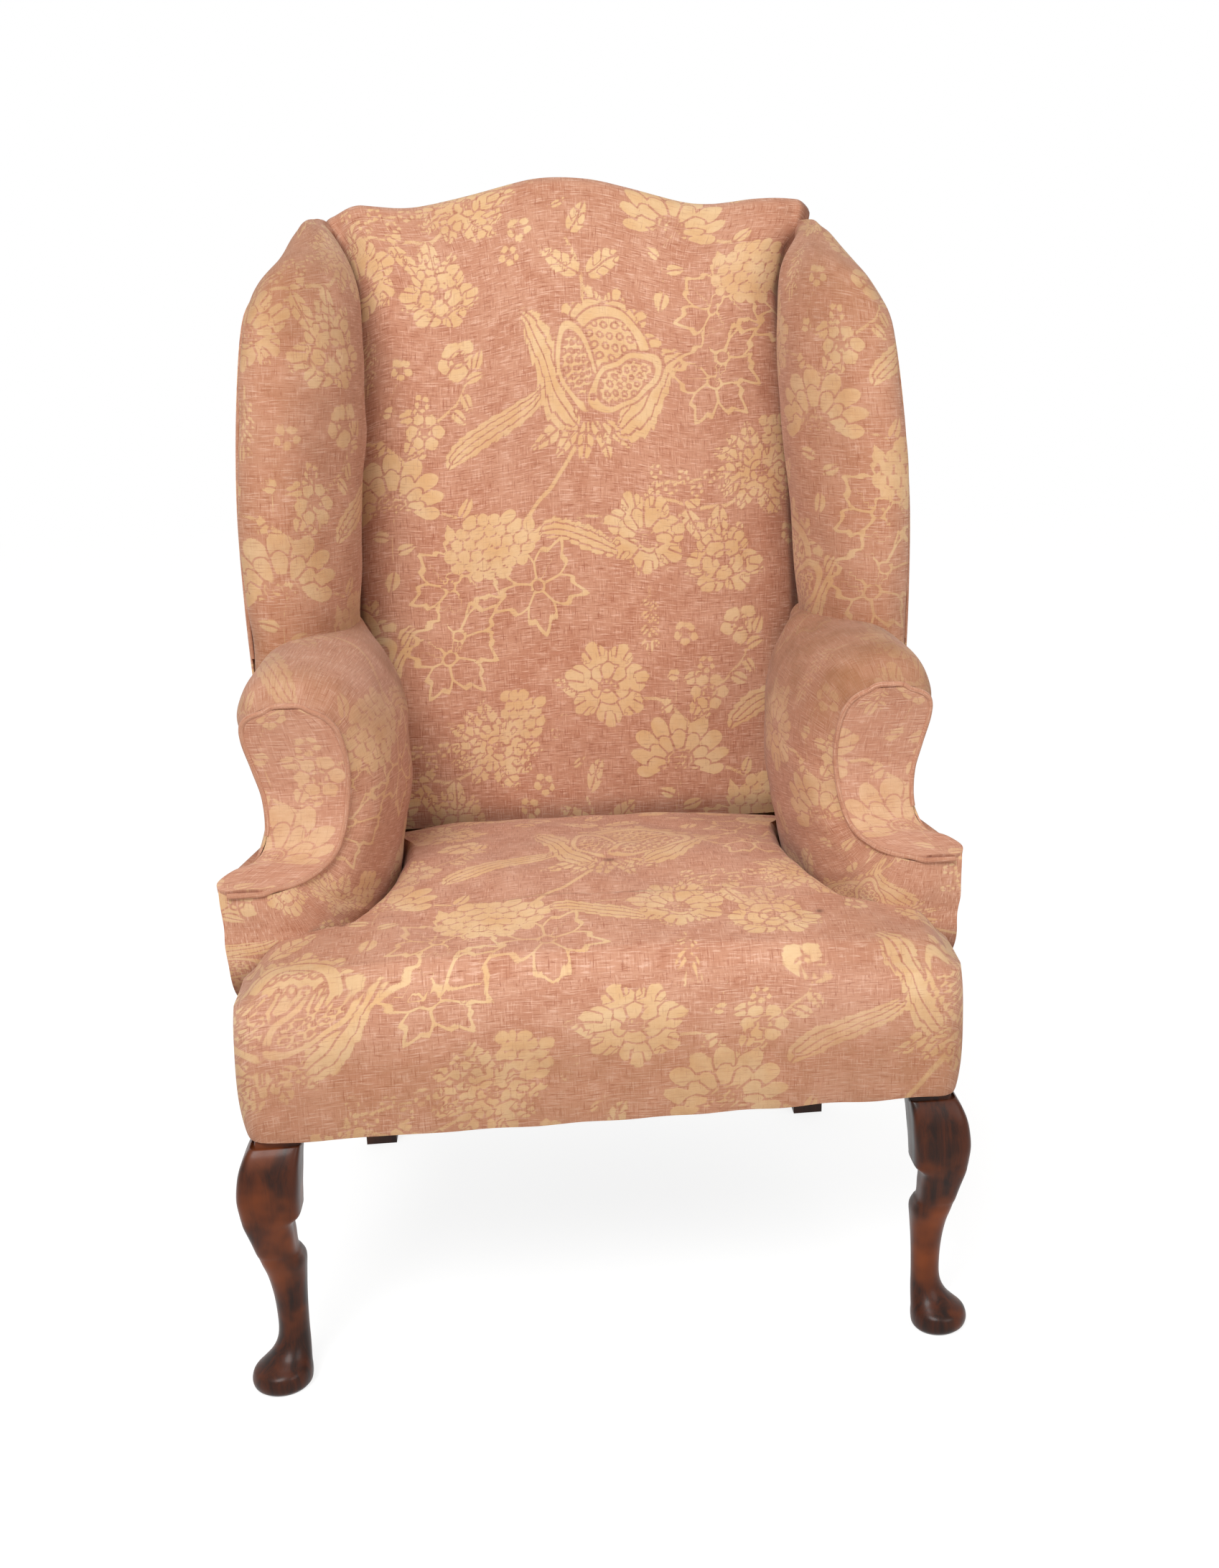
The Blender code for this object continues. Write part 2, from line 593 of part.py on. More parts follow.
arm = arm_grid()
facing = facing_grid()
lip_level = arm_point(0, 0, 139).z
shelf_level = arm_point(0, 0, 163).z
for side, sign in SIDES:
    # post: straight up from the seat rail, then along the facing's curve
    front_x = arm_frame_x(LIP_Y) - ARM_POST_WIDTH / 2
    sections = []
    foot_y = LIP_Y + POST_FOOT_INSET
    foot_back = foot_y + ARM_POST_DEPTH + 0.020
    foot_x = frame_half_width(foot_back) - ARM_POST_FOOT - 0.001
    sections.append(rectangle(foot_x, foot_x + ARM_POST_FOOT, foot_y, foot_back, RAIL_TOP + GAP))
    sections.append(rectangle(front_x, front_x + ARM_POST_WIDTH, foot_y, foot_back, lip_level - 0.006))
    steps = 8
    top = ARM_RAIL_TOP
    for step in range(steps + 1):
        z = shelf_level + (top - shelf_level) * step / steps
        y = facing_y(z) + 0.0012
        sections.append(rectangle(front_x, front_x + ARM_POST_WIDTH, y, y + ARM_POST_DEPTH, z))
    front = arm_side(facing_grid(0.0012), sign)
    front_space = shell("front_space_" + side, front, -sign, 0.0, BEECH, grow=0.02)
    cut(loft("arm_post_" + side, mirrored(sections, sign), BEECH), front_space)
    wider = [grown(section, 0.0006) for section in sections]
    post_space = loft("post_space_" + side, mirrored(wider, sign), BEECH)
    post_back = max(facing_y(ARM_RAIL_TOP - ARM_RAIL_HEIGHT), facing_y(ARM_RAIL_TOP)) + ARM_POST_DEPTH + 0.0015

    # arm rail under the roll, and the stuffing rail low inside the arm
    low = ARM_RAIL_TOP - ARM_RAIL_HEIGHT
    near, far = arm_frame_x(post_back), arm_frame_x(post_front(low))
    start = upright(near - ARM_RAIL_WIDTH / 2, near + ARM_RAIL_WIDTH / 2, low, ARM_RAIL_TOP, post_back)
    end = upright(far - ARM_RAIL_WIDTH / 2, far + ARM_RAIL_WIDTH / 2, low, ARM_RAIL_TOP, 0)
    for point in end:
        point.y = post_front(point.z) - GAP
    loft("arm_rail_" + side, mirrored([start, end], sign), BEECH)
    wider = [grown(start, 0.0006), grown(end, 0.0006)]
    rail_space = loft("rail_space_" + side, mirrored(wider, sign), BEECH)
    rail_low, rail_high = RAIL_TOP + 0.035, RAIL_TOP + 0.075
    start_y = foot_back + GAP
    inner = front_x + 0.008
    start = upright(inner, inner + 0.020, rail_low, rail_high, start_y)
    end = upright(POST_INNER_X + 0.004, POST_INNER_X + 0.024, rail_low, rail_high, 0)
    for point in end:
        point.y = post_front(point.z) - GAP
    loft("arm_stuffing_rail_" + side, mirrored([start, end], sign), BEECH)

    # padded roll with the inside arm, its facing and the piping between them
    pad = shell("arm_pad_" + side, arm_side(arm, sign), -sign, ARM_PAD, DAMASK, setback=ARM_SETBACK)
    cover = shell("arm_facing_" + side, arm_side(facing, sign), -sign, -FACING_LIFT, DAMASK,
                  grow=FACING_LIFT + FACING_THICKNESS)
    path = mirrored([piping_path()], sign)[0]
    tube("arm_piping_" + side, path, PIPING_RADIUS, DAMASK, sides=6)
    cord_space = tube("cord_space_" + side, lengthened(path, 0.0015), PIPING_RADIUS + GAP * 2, BEECH, sides=6)
    for space in (front_space, post_space, rail_space, cord_space):
        cut(pad, space)
    cut(cover, cord_space)


# Wings

WING_RIBS = [
    [(101, 449, -48), (109, 398, -48), (116, 341, -48), (109, 271, -48),
     (79, 213, -48), (46, 195, -48), (21, 207, -48), (15, 231, -48)],
    [(101, 458, 32), (112, 404, 32), (123, 346, 32), (114, 276, 32),
     (80, 218, 32), (43, 201, 32), (17, 215, 32), (11, 237, 32)],
    [(101, 469, 132), (116, 414, 132), (129, 356, 132), (117, 286, 132),
     (80, 227, 132), (41, 209, 132), (14, 223, 132), (9, 245, 132)],
    [(109, 479, 232), (124, 427, 232), (136, 371, 232), (122, 306, 232),
     (83, 249, 232), (43, 231, 232), (17, 243, 232), (12, 265, 232)],
    [(114, 489, 322), (127, 440, 322), (138, 389, 322), (124, 329, 322),
     (85, 277, 322), (47, 259, 322), (23, 271, 322), (19, 291, 322)],
    [(113, 499, 372), (119, 455, 382), (129, 411, 390), (114, 359, 395),
     (81, 313, 390), (49, 296, 377), (30, 307, 362), (26, 325, 357)],
    [(99, 507, 414), (102, 476, 427), (104, 446, 434), (94, 406, 432),
     (72, 369, 420), (51, 356, 400), (38, 363, 382), (35, 377, 372)],
    [(83, 510, 438), (79, 494, 447), (75, 476, 452), (71, 453, 449),
     (62, 429, 435), (53, 421, 414), (46, 423, 392), (44, 431, 380)],
    [(74, 522, 440), (72, 518, 447), (70, 514, 449), (67, 508, 443),
     (62, 503, 430), (58, 499, 412), (55, 497, 392), (54, 499, 380)],
]
WING_ACROSS = 19
WING_ALONG = 13
WING_POST = (0.024, 0.022)
WELT_RADIUS = 0.0018
ribs = [[wing_point(*point) for point in rib] for rib in WING_RIBS]
wing = smooth_net(ribs, WING_ACROSS, WING_ALONG)


def wing_edge(first, last, beyond, count):
    """Points just beyond the wing pad's outer edge, in line with its ribs."""
    points = []
    for row in wing[first:last + 1]:
        points.append(row[-1] + (row[-1] - row[-2]).normalized() * beyond)
    return smooth(points, count)


# wing post: height above the arm rail's share, then its middle in mm inward and behind the lip
WING_POST_LINE = [(-71, 68, 248), (32, 45, 240), (132, 43, 248), (232, 45, 266), (312, 48, 287)]


def wing_post_sections(grow):
    sections = []
    for above, inward, behind in WING_POST_LINE:
        middle = wing_point(inward, behind, above)
        if not sections:
            middle.z = ARM_RAIL_TOP + GAP
            middle.x = arm_frame_x(middle.y)
        half_x, half_y = WING_POST[0] / 2 + grow, WING_POST[1] / 2 + grow
        x, y = middle.x, middle.y
        sections.append(rectangle(x - half_x, x + half_x, y - half_y, y + half_y, middle.z))
    return sections, middle


for side, sign in SIDES:
    sections, middle = wing_post_sections(0)
    loft("wing_post_" + side, mirrored(sections, sign), BEECH)
    sections, middle = wing_post_sections(GAP)
    cut(bpy.data.objects["arm_pad_" + side], loft("wing_post_space_" + side, mirrored(sections, sign), BEECH))
    start = upright(middle.x - 0.011, middle.x + 0.011, middle.z - 0.032, middle.z - 0.004,
                    middle.y + WING_POST[1] / 2 + 0.004)
    end = upright(FRAME_X_BACK - 0.024, FRAME_X_BACK - 0.002, middle.z, middle.z + 0.030, 0)
    for point in end:
        point.y = post_front(point.z) - GAP
    loft("wing_rail_" + side, mirrored([start, end], sign), BEECH)

    pad = shell("wing_pad_" + side, arm_side(wing, sign), -sign, WING_PAD, DAMASK)
    cut(pad, arm_space("arm_space_" + side, arm, sign))

    path = mirrored([wing_edge(1, 13, WELT_RADIUS + GAP * 2, 16)], sign)[0]
    tube("wing_welt_" + side, path, WELT_RADIUS, DAMASK, sides=6)
    cut(pad, arm_room("arm_room_" + side, arm, sign))
    cut(pad, tube("welt_space_" + side, lengthened(path, 0.0015), WELT_RADIUS + GAP * 2, BEECH, sides=6))


# Inside back pad: a crowned cushion that wraps over the crest rail

BACK_PAD_BOTTOM = RAIL_TOP + 0.088
BACK_CROWN = 0.014
BACK_CORNER_LENGTH = 0.055  # the pad is rounded off over this length beside each wing
BACK_CORNER_FALL = 0.020
BACK_ACROSS = 17
BACK_RISE_STEPS = 13
CREST_ROUND_STEPS = 5


def back_section(u):
    """One upright section of the inside back, at u from -1 to 1 across: up its front, over, down behind."""
    edge = abs(u)
    top = crest_top(u * FRAME_X_BACK)
    crown = BACK_CROWN * (1 - edge ** 4)
    corner = BACK_CORNER_FALL * max(0.0, 1 - (1 - edge) * FRAME_X_BACK / BACK_CORNER_LENGTH) ** 2
    straight_top = top - CREST_ROUND
    levels = []
    section = []
    for step in range(BACK_RISE_STEPS):
        share = step / (BACK_RISE_STEPS - 1)
        z = BACK_PAD_BOTTOM + (straight_top - BACK_PAD_BOTTOM) * share
        swell = crown * math.sin(math.pi * min(1.0, 0.12 + share * 0.80)) ** 0.7
        y = post_front(z) - BACK_PAD - swell + corner
        if share > 0.8:
            y += 0.022 * ((share - 0.8) / 0.2) ** 2
        y = min(y, post_front(z) - 0.006)
        levels.append(z)
        section.append(Vector((u * back_half_width(z), y, z)))
    front_y = section[-1].y
    back_y = post_front(straight_top) + POST_DEPTH - 0.004
    middle_y, reach = (front_y + back_y) / 2, (back_y - front_y) / 2
    for step in range(1, CREST_ROUND_STEPS + 1):
        turn = math.pi * step / (CREST_ROUND_STEPS + 1)
        z = straight_top + CREST_ROUND * math.sin(turn) ** 0.8
        section.append(Vector((u * back_half_width(z), middle_y - reach * math.cos(turn), z)))
    low = straight_top - 0.004
    half = u * back_half_width(low)
    section.append(Vector((half, back_y, low)))
    section.append(Vector((half, post_front(low) - GAP, low)))
    for z in reversed(levels[:-1]):
        section.append(Vector((u * back_half_width(z), post_front(z) - GAP, z)))
    return section


def back_pad_mesh(name):
    """The sections joined up, with end caps that follow the curve of the pad's sides."""
    sections = [back_section(2 * i / (BACK_ACROSS - 1) - 1) for i in range(BACK_ACROSS)]
    size = len(sections[0])
    points = [point for section in sections for point in section]
    faces = []
    for i in range(BACK_ACROSS - 1):
        for j in range(size):
            k = (j + 1) % size
            faces.append((i * size + j, i * size + k, (i + 1) * size + k, (i + 1) * size + j))
    for base in (0, (BACK_ACROSS - 1) * size):
        rise = BACK_RISE_STEPS - 2
        for j in range(rise):
            faces.append((base + j, base + j + 1, base + size - 2 - j, base + size - 1 - j))
        head = list(range(base + rise, base + size - rise))
        middle_z = points[base + rise + 1].z + 0.004
        middle_y = post_front(middle_z) - 0.003
        share = (points[base].x > 0) * 2 - 1
        points.append(Vector((share * back_half_width(middle_z), middle_y, middle_z)))
        for a, b in zip(head, head[1:] + head[:1]):
            faces.append((a, b, len(points) - 1))
    return add_mesh(name, points, faces, DAMASK)


back_pad_mesh("inside_back_pad")


# Springing: webbing under the rails, nine springs, and the hessian over them

web_level = LEG_HEIGHT - GAP - WEBBING_THICKNESS * 1.25
WEAVE = WEBBING_THICKNESS * 0.75
spring_side = FRAME_X_BACK - SPRING_SIDE_ROOM
SPRING_X = (-spring_side, 0.0, spring_side)
spring_front, spring_back = RAIL_FRONT_Y + SPRING_FRONT_ROOM, POST_FOOT_Y - SPRING_BACK_ROOM
SPRING_Y = (spring_front, (spring_front + spring_back) / 2, spring_back)


def webbing(name, start, end, crossings, first_over):
    """A strip along X or Y that passes over and under the strips that it crosses."""
    along = (end - start).normalized()
    across = Vector((-along.y, along.x, 0)) * WEBBING_WIDTH / 2
    stops = [(0.0, 1)]
    for number, distance in enumerate(crossings):
        way = first_over if number % 2 == 0 else -first_over
        stops.append((distance - WEBBING_WIDTH * 0.62, way))
        stops.append((distance + WEBBING_WIDTH * 0.62, way))
    stops.append(((end - start).length, 1))
    sections = []
    for distance, way in stops:
        middle = start + along * distance + Vector((0, 0, way * WEAVE))
        up = Vector((0, 0, WEBBING_THICKNESS / 2))
        sections.append([middle - across - up, middle + across - up, middle + across + up, middle - across + up])
    loft(name, sections, JUTE)


web_front, web_back = RAIL_FRONT_Y + 0.006, RAIL_BACK_Y - 0.006
for number, x in enumerate(SPRING_X):
    crossings = [y - web_front for y in SPRING_Y]
    way = 1 if number % 2 == 0 else -1
    webbing("webbing_long_%d" % (number + 1), Vector((x, web_front, web_level)), Vector((x, web_back, web_level)),
            crossings, way)
for number, y in enumerate(SPRING_Y):
    half = frame_half_width(y + WEBBING_WIDTH / 2) - 0.004
    crossings = [x + half for x in SPRING_X]
    way = -1 if number % 2 == 0 else 1
    webbing("webbing_cross_%d" % (number + 1), Vector((-half, y, web_level)), Vector((half, y, web_level)),
            crossings, way)

SPRING_TURNS = 4
SPRING_WAIST = 0.62
TURN_STEPS = 8
hessian_level = RAIL_TOP + GAP + SPRING_LIFT
spring_base = web_level + WEAVE + WEBBING_THICKNESS / 2 + GAP + SPRING_WIRE
spring_top = hessian_level - GAP - SPRING_WIRE
number = 0
for y in SPRING_Y:
    for x in SPRING_X:
        number += 1
        path = []
        steps = SPRING_TURNS * TURN_STEPS
        for step in range(steps + 1):
            share = step / steps
            turn = 2 * math.pi * SPRING_TURNS * share
            radius = SPRING_RADIUS * (SPRING_WAIST + (1 - SPRING_WAIST) * (2 * share - 1) ** 2)
            rise = min(1.0, max(0.0, (share - 1 / SPRING_TURNS / 1.3) / (1 - 2 / SPRING_TURNS / 1.3)))
            rise = share * 0.04 + rise * 0.92 + (0.04 if share > 0.5 else 0.0) * min(1.0, (share - 0.5) * 4)
            z = spring_base + (spring_top - spring_base) * rise
            path.append(Vector((x + radius * math.cos(turn), y + radius * math.sin(turn), z)))
        tube("seat_spring_%d" % number, path, SPRING_WIRE, STEEL, sides=4)

HESSIAN = 0.0012
HESSIAN_INSET = 0.023       # rail's outer face to the hessian's edge
DOME_SIDE = 0.105           # how far in from the rails the hessian rises, at the sides and the ends
DOME_END = 0.062
DOME_STEPS = 15


def ease(value):
    value = min(1.0, max(0.0, value))
    return value * value * (3 - 2 * value)


def dome(x, y):
    """How high the hessian is held above the rails, from 0 on them to 1 over the springs."""
    side_room = frame_half_width(y) - RAIL_THICKNESS - abs(x)
    end_room = min(y - RAIL_FRONT_Y - RAIL_THICKNESS, POST_FOOT_Y - y)
    return ease(side_room / DOME_SIDE) * ease(end_room / DOME_END)


def sheet_over_frame(name, low, high, surface, skirt=False):
    """The hessian's shape between two levels; with a skirt, the whole frame's space under it."""
    front, back = RAIL_FRONT_Y + 0.006, POST_FOOT_Y - GAP * 2
    rows = [front + (back - front) * i / (DOME_STEPS - 1) for i in range(DOME_STEPS)]
    shares = [2 * j / (DOME_STEPS - 1) - 1 for j in range(DOME_STEPS)]
    spans = [(y, [share * (frame_half_width(y) - HESSIAN_INSET) for share in shares]) for y in rows]
    if skirt:
        first, last = spans[0][1], spans[-1][1]
        spans = [(RAIL_FRONT_Y - GAP, first)] + spans + [(POST_FOOT_Y + 0.02, last)]
        spans = [(y, [-frame_half_width(y) - GAP] + xs + [frame_half_width(y) + GAP]) for y, xs in spans]
    tops, bottoms = [], []
    for y, xs in spans:
        for x in xs:
            lift = dome(x, y) * SPRING_LIFT
            tops.append(Vector((x, y, high + lift)))
            bottoms.append(Vector((x, y, low if skirt else low + lift)))
    columns = len(spans[0][1])
    inside = len(tops)
    faces = []
    for i in range(len(spans) - 1):
        for j in range(columns - 1):
            a = i * columns + j
            b, c, d = a + 1, a + columns + 1, a + columns
            faces.append((a, b, c, d))
            faces.append((inside + d, inside + c, inside + b, inside + a))
    rows_last, last = len(spans) - 1, columns - 1
    rim = list(range(columns)) + [i * columns + last for i in range(1, rows_last + 1)]
    rim += [rows_last * columns + j for j in range(last - 1, -1, -1)]
    rim += [i * columns for i in range(rows_last - 1, 0, -1)]
    for a, b in zip(rim, rim[1:] + rim[:1]):
        faces.append((a, inside + a, inside + b, b))
    return add_mesh(name, tops + bottoms, faces, surface)


sheet_over_frame("seat_hessian", RAIL_TOP + GAP, RAIL_TOP + GAP + HESSIAN, JUTE)


# Seat pad: a domed top that passes between the arms, with ears in front of them and a front border

SEAT_BACK_Y = POST_FOOT_Y - 0.045
SEAT_TUCK = RAIL_TOP + 0.062        # how low the pad reaches beside the arms
EAR_BACK_Y = LIP_Y - 0.0022
SEAT_MIDDLE = Vector((0, EAR_BACK_Y - 0.025, 0))
# half of the pad's outline from the middle of its back, in mm: inward from the arm tip, behind the lip
SEAT_SIDE = [
    (138, 384), (153, 340), (165, 271), (167, 200), (160, 141), (143, 82), (127, 42), (109, 15), (85, -2.6),
]


def seat_outline():
    """Points around the seat pad: x, y and the level that its side wall reaches down to."""
    half = []
    for step in range(5):
        half.append((Vector((step / 5 * (TIP_X - 0.118), SEAT_BACK_Y + 0.004, 0)), SEAT_TUCK))
    for inward, behind in SEAT_SIDE:
        point = arm_point(inward, behind, 0)
        half.append((Vector((point.x, min(point.y, SEAT_BACK_Y + 0.004), 0)), SEAT_TUCK))
    ear_x = FRAME_X_FRONT + 0.0065
    front = RAIL_FRONT_Y - 0.0075
    for inset in (0.045, 0.012, 0.004):
        half.append((Vector((ear_x - inset, EAR_BACK_Y, 0)), RAIL_TOP + 0.004))
    for share in (0.02, 0.35, 0.68):
        half.append((Vector((ear_x, EAR_BACK_Y + (front - EAR_BACK_Y) * share, 0)), LEG_HEIGHT))
    corner = 0.024
    for step in range(1, 4):
        turn = math.pi / 2 * step / 4
        x, y = ear_x - corner + corner * math.cos(turn), front + corner - corner * math.sin(turn)
        half.append((Vector((x, y, 0)), LEG_HEIGHT))
    for step in range(6):
        half.append((Vector(((ear_x - corner) * (1 - step / 6), front, 0)), LEG_HEIGHT))
    half.append((Vector((0, front, 0)), LEG_HEIGHT))
    left = [(Vector((-p.x, p.y, 0)), low) for p, low in half[1:-1]]
    return half + left[::-1]


def seat_height(x, y):
    """The domed top, which falls to the front roll and to the arms."""
    along = (y - RAIL_FRONT_Y) / (SEAT_BACK_Y - RAIL_FRONT_Y)
    across = abs(x) / FRAME_X_FRONT
    crown = math.sin(math.pi * min(1.0, max(0.0, 0.04 + 0.80 * along))) ** 0.8
    side = 1 - 0.55 * across ** 3
    return SEAT_EDGE_HEIGHT + SEAT_CROWN * crown * side - 0.010 * across ** 2


outline = seat_outline()
rings = []
for share in (0.12, 0.34, 0.56, 0.74, 0.87, 0.955):
    ring = []
    for point, low in outline:
        place = SEAT_MIDDLE.lerp(point, share)
        drop = 0.016 * max(0.0, (share - 0.8) / 0.155) ** 2
        ring.append(Vector((place.x, place.y, seat_height(place.x, place.y) - drop)))
    rings.append(ring)
for depth, swell in ((0.10, 0.2), (0.35, 0.9), (0.65, 0.7), (1.0, 0.0)):
    ring = []
    for (point, low), edge in zip(outline, rings[5]):
        outward = (point - SEAT_MIDDLE).normalized()
        bulge = 0.009 * swell if low == LEG_HEIGHT else 0.0
        start = edge.z - 0.012
        ring.append(Vector((point.x + outward.x * bulge * 1.3, point.y + outward.y * bulge,
                            start + (low - start) * depth)))
    rings.append(ring)
rings.append([SEAT_MIDDLE.lerp(point, 0.93) + Vector((0, 0, low)) for point, low in outline])
for share in (0.84, 0.30):
    ring = []
    for point, low in outline:
        place = SEAT_MIDDLE.lerp(point, share)
        ring.append(Vector((place.x, place.y, RAIL_TOP + dome(place.x, place.y) * SPRING_LIFT - 0.012)))
    rings.append(ring)
seat = loft("seat_pad", rings, DAMASK)

frame_space = sheet_over_frame("frame_space", LEG_HEIGHT - 0.05, RAIL_TOP + GAP * 2 + HESSIAN, BEECH, skirt=True)
cut(seat, frame_space)
block_rows = (LEG_HEIGHT - 0.05, RAIL_TOP + GAP)
for side, sign in SIDES:
    block = [rectangle(block_inner_x - 0.002, FRAME_X_FRONT + GAP, RAIL_FRONT_Y - GAP, BLOCK_BACK_Y + GAP, z)
             for z in block_rows]
    cut(seat, loft("block_space_" + side, mirrored(block, sign), BEECH))


# Outside covers, and the lining under the seat

def outside_arm_grid():
    """Rows from the rail's underside up to the scroll, columns from the lip back to the post."""
    rows = []
    back_y = POST_FOOT_Y + POST_DEPTH
    far_y = LIP_Y + 0.31
    snug = 0.0007
    rail_line = [Vector((frame_half_width(y) + snug, y, 0))
                 for y in (EAR_BACK_Y + 0.0035, LIP_Y + 0.09, LIP_Y + 0.20, far_y, POST_FOOT_Y)]
    rail_line.append(Vector((FRAME_X_BACK + snug, back_y, 0)))
    for above in (-79, -40, -1):
        rows.append([Vector((p.x, p.y, RAIL_TOP + above * MM * RAIL_HEIGHT / 0.079)) for p in rail_line])
    drawn = (
        (4, (31, 21), (43, 90), (54, 200)), (22, (19, 21), (38, 90), (49, 200)), (45, (9, 21), (33, 90), (45, 200)),
        (100, (6, 21), (27, 90), (38, 200)), (140, (4, 22), (29, 90), (36, 200)),
        (164, (34, 46), (34, 90), (37, 200)), (200, (45, 66), (40, 100), (38, 200)),
        (257, (38, 68), (36, 100), (37, 200)))
    for above, first, second, third in drawn:
        level = arm_point(0, 0, above).z
        row = [arm_point(first[0], first[1], above - (3 if above == 257 else 0)),
               arm_point(second[0], second[1], above), arm_point(third[0], third[1], above)]
        row.append(Vector((frame_half_width(far_y) + 0.004, far_y, level)))
        row.append(Vector((FRAME_X_BACK + snug * 3, POST_FOOT_Y, level)))
        row.append(Vector((FRAME_X_BACK + snug, post_front(level) + POST_DEPTH, level)))
        rows.append(row)
    rows = [smooth(row, 9) for row in rows]
    for row in rows:
        for point in row:
            point.x = max(point.x, FRAME_X_BACK + snug)
    return rows


def outside_wing_grid():
    """Rows from the arm's roll up to the wing's top, columns from the welt back to the post."""
    columns = 7
    rows = []
    edge = wing_edge(0, 11, WELT_RADIUS * 2 + GAP * 5, 8)
    for start in edge:
        end = Vector((FRAME_X_BACK + 0.0007, post_front(start.z) + POST_DEPTH, start.z))
        row = []
        for step in range(columns):
            share = step / (columns - 1)
            row.append(start.lerp(end, share) + Vector((0.009 * math.sin(math.pi * share), 0, 0)))
        rows.append(row)
    below = []
    for point in rows[0]:
        drop = 0.056 if point.y > ARM_END_Y + 0.003 else 0.001
        below.append(point - Vector((0, 0, drop)))
    rows.insert(0, below)
    top = [wing[i][-1] + (wing[i][-1] - wing[i][-2]).normalized() * 0.0035 for i in range(12, WING_ACROSS)]
    top.append(Vector((FRAME_X_BACK + 0.0007, post_front(top[-1].z) + POST_DEPTH, top[-1].z)))
    rows.append(smooth(top, columns))
    return rows


outside_arm = outside_arm_grid()
outside_wing = outside_wing_grid()
for side, sign in SIDES:
    shell("outside_arm_cover_" + side, arm_side(outside_arm, sign), -sign, 0.0, DAMASK, grow=CLOTH)
    cover = shell("outside_wing_cover_" + side, arm_side(outside_wing, sign), -sign, 0.0, DAMASK, grow=CLOTH)
    cut(cover, bpy.data.objects["welt_space_" + side])

sections = []
for step in range(CREST_STATIONS):
    x = FRAME_X_BACK * (2 * step / (CREST_STATIONS - 1) - 1)
    top = HEIGHT - crest_drop(x) - CREST_COVER_DROP
    section = []
    for z in (LEG_HEIGHT, RAIL_TOP, (RAIL_TOP + top) / 2, top):
        section.append(Vector((x, post_front(z) + POST_DEPTH + GAP, z)))
    for z in (top, (RAIL_TOP + top) / 2, RAIL_TOP, LEG_HEIGHT):
        section.append(Vector((x, post_front(z) + POST_DEPTH + GAP + CLOTH, z)))
    sections.append(section)
loft("outside_back_cover", sections, DAMASK)

lining_top = web_level - WEAVE - WEBBING_THICKNESS / 2 - GAP
LINING = 0.0015
lining = [(block_inner_x - 0.002, RAIL_FRONT_Y + 0.004), (block_inner_x - 0.002, BLOCK_BACK_Y + 0.006),
          (frame_half_width(BLOCK_BACK_Y) - 0.006, BLOCK_BACK_Y + 0.006),
          (frame_half_width(POST_FOOT_Y) - 0.006, POST_FOOT_Y - 0.004),
          (POST_INNER_X - 0.004, POST_FOOT_Y - 0.004), (POST_INNER_X - 0.004, RAIL_BACK_Y - 0.002)]
lining += [(-x, y) for x, y in reversed(lining)]
levels = [[Vector((x, y, z)) for x, y in lining] for z in (lining_top - LINING, lining_top)]
loft("bottom_lining", levels, BLACK_CLOTH)
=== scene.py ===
# %% [markdown]
# # An old wing armchair in faded figured cloth
#
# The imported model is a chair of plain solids: a beech frame, springs and smooth pads. This
# script dresses it. Every pad gets a fine skin of cloth that follows the same drawn ribs as the
# solid under it. The cloth's flowers are drawn by functions in the cloth's own millimetres, so
# a flower is as large on the seat as on the back, as on a chair cut from one bolt.

# %% Load the frame
import math

import bmesh
import bpy
import numpy as np
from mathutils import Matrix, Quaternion, Vector


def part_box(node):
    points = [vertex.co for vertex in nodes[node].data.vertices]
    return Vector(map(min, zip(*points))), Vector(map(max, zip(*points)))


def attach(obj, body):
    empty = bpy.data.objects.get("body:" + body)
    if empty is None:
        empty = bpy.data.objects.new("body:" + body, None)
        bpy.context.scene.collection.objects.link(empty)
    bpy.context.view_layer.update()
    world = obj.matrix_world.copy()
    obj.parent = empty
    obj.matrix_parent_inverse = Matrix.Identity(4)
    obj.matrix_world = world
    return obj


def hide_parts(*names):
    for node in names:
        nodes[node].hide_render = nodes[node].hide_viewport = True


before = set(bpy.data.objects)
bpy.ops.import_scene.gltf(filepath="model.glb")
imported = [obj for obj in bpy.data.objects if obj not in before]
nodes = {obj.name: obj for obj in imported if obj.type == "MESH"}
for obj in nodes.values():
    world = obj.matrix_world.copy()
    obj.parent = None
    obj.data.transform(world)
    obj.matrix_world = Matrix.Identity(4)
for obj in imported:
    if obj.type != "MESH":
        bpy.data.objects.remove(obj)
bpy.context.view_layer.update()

# %% [markdown]
# ## Main sizes
#
# The chair faces -Y and stands on the XY plane. These are the frame's own sizes in metres, read
# from its nodes where a node's box gives them. The drawn tables are in millimetres, measured
# inward from the tip of the arm, back from the arm's lip, and up from the seat rails.

# %% Main sizes
MM = 0.001
TIP_X = 0.379
LIP_Y = -0.2227
RAIL_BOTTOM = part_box("front_seat_rail")[0][2]
RAIL_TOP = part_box("front_seat_rail")[1][2]
RAIL_FRONT_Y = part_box("front_seat_rail")[0][1]
POST_FOOT_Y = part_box("back_seat_rail")[0][1]
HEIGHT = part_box("inside_back_pad")[1][2]
FRAME_X_FRONT, FRAME_X_BACK = TIP_X - 0.032, TIP_X - 0.075
ARM_HEIGHT = RAIL_TOP + 0.363
BACK_RAKE, POST_DEPTH, CLOTH = 0.108, 0.038, 0.0025
SIDES = (("left", -1), ("right", 1))


def post_front(z):
    return POST_FOOT_Y + BACK_RAKE * np.maximum(0.0, z - RAIL_TOP)


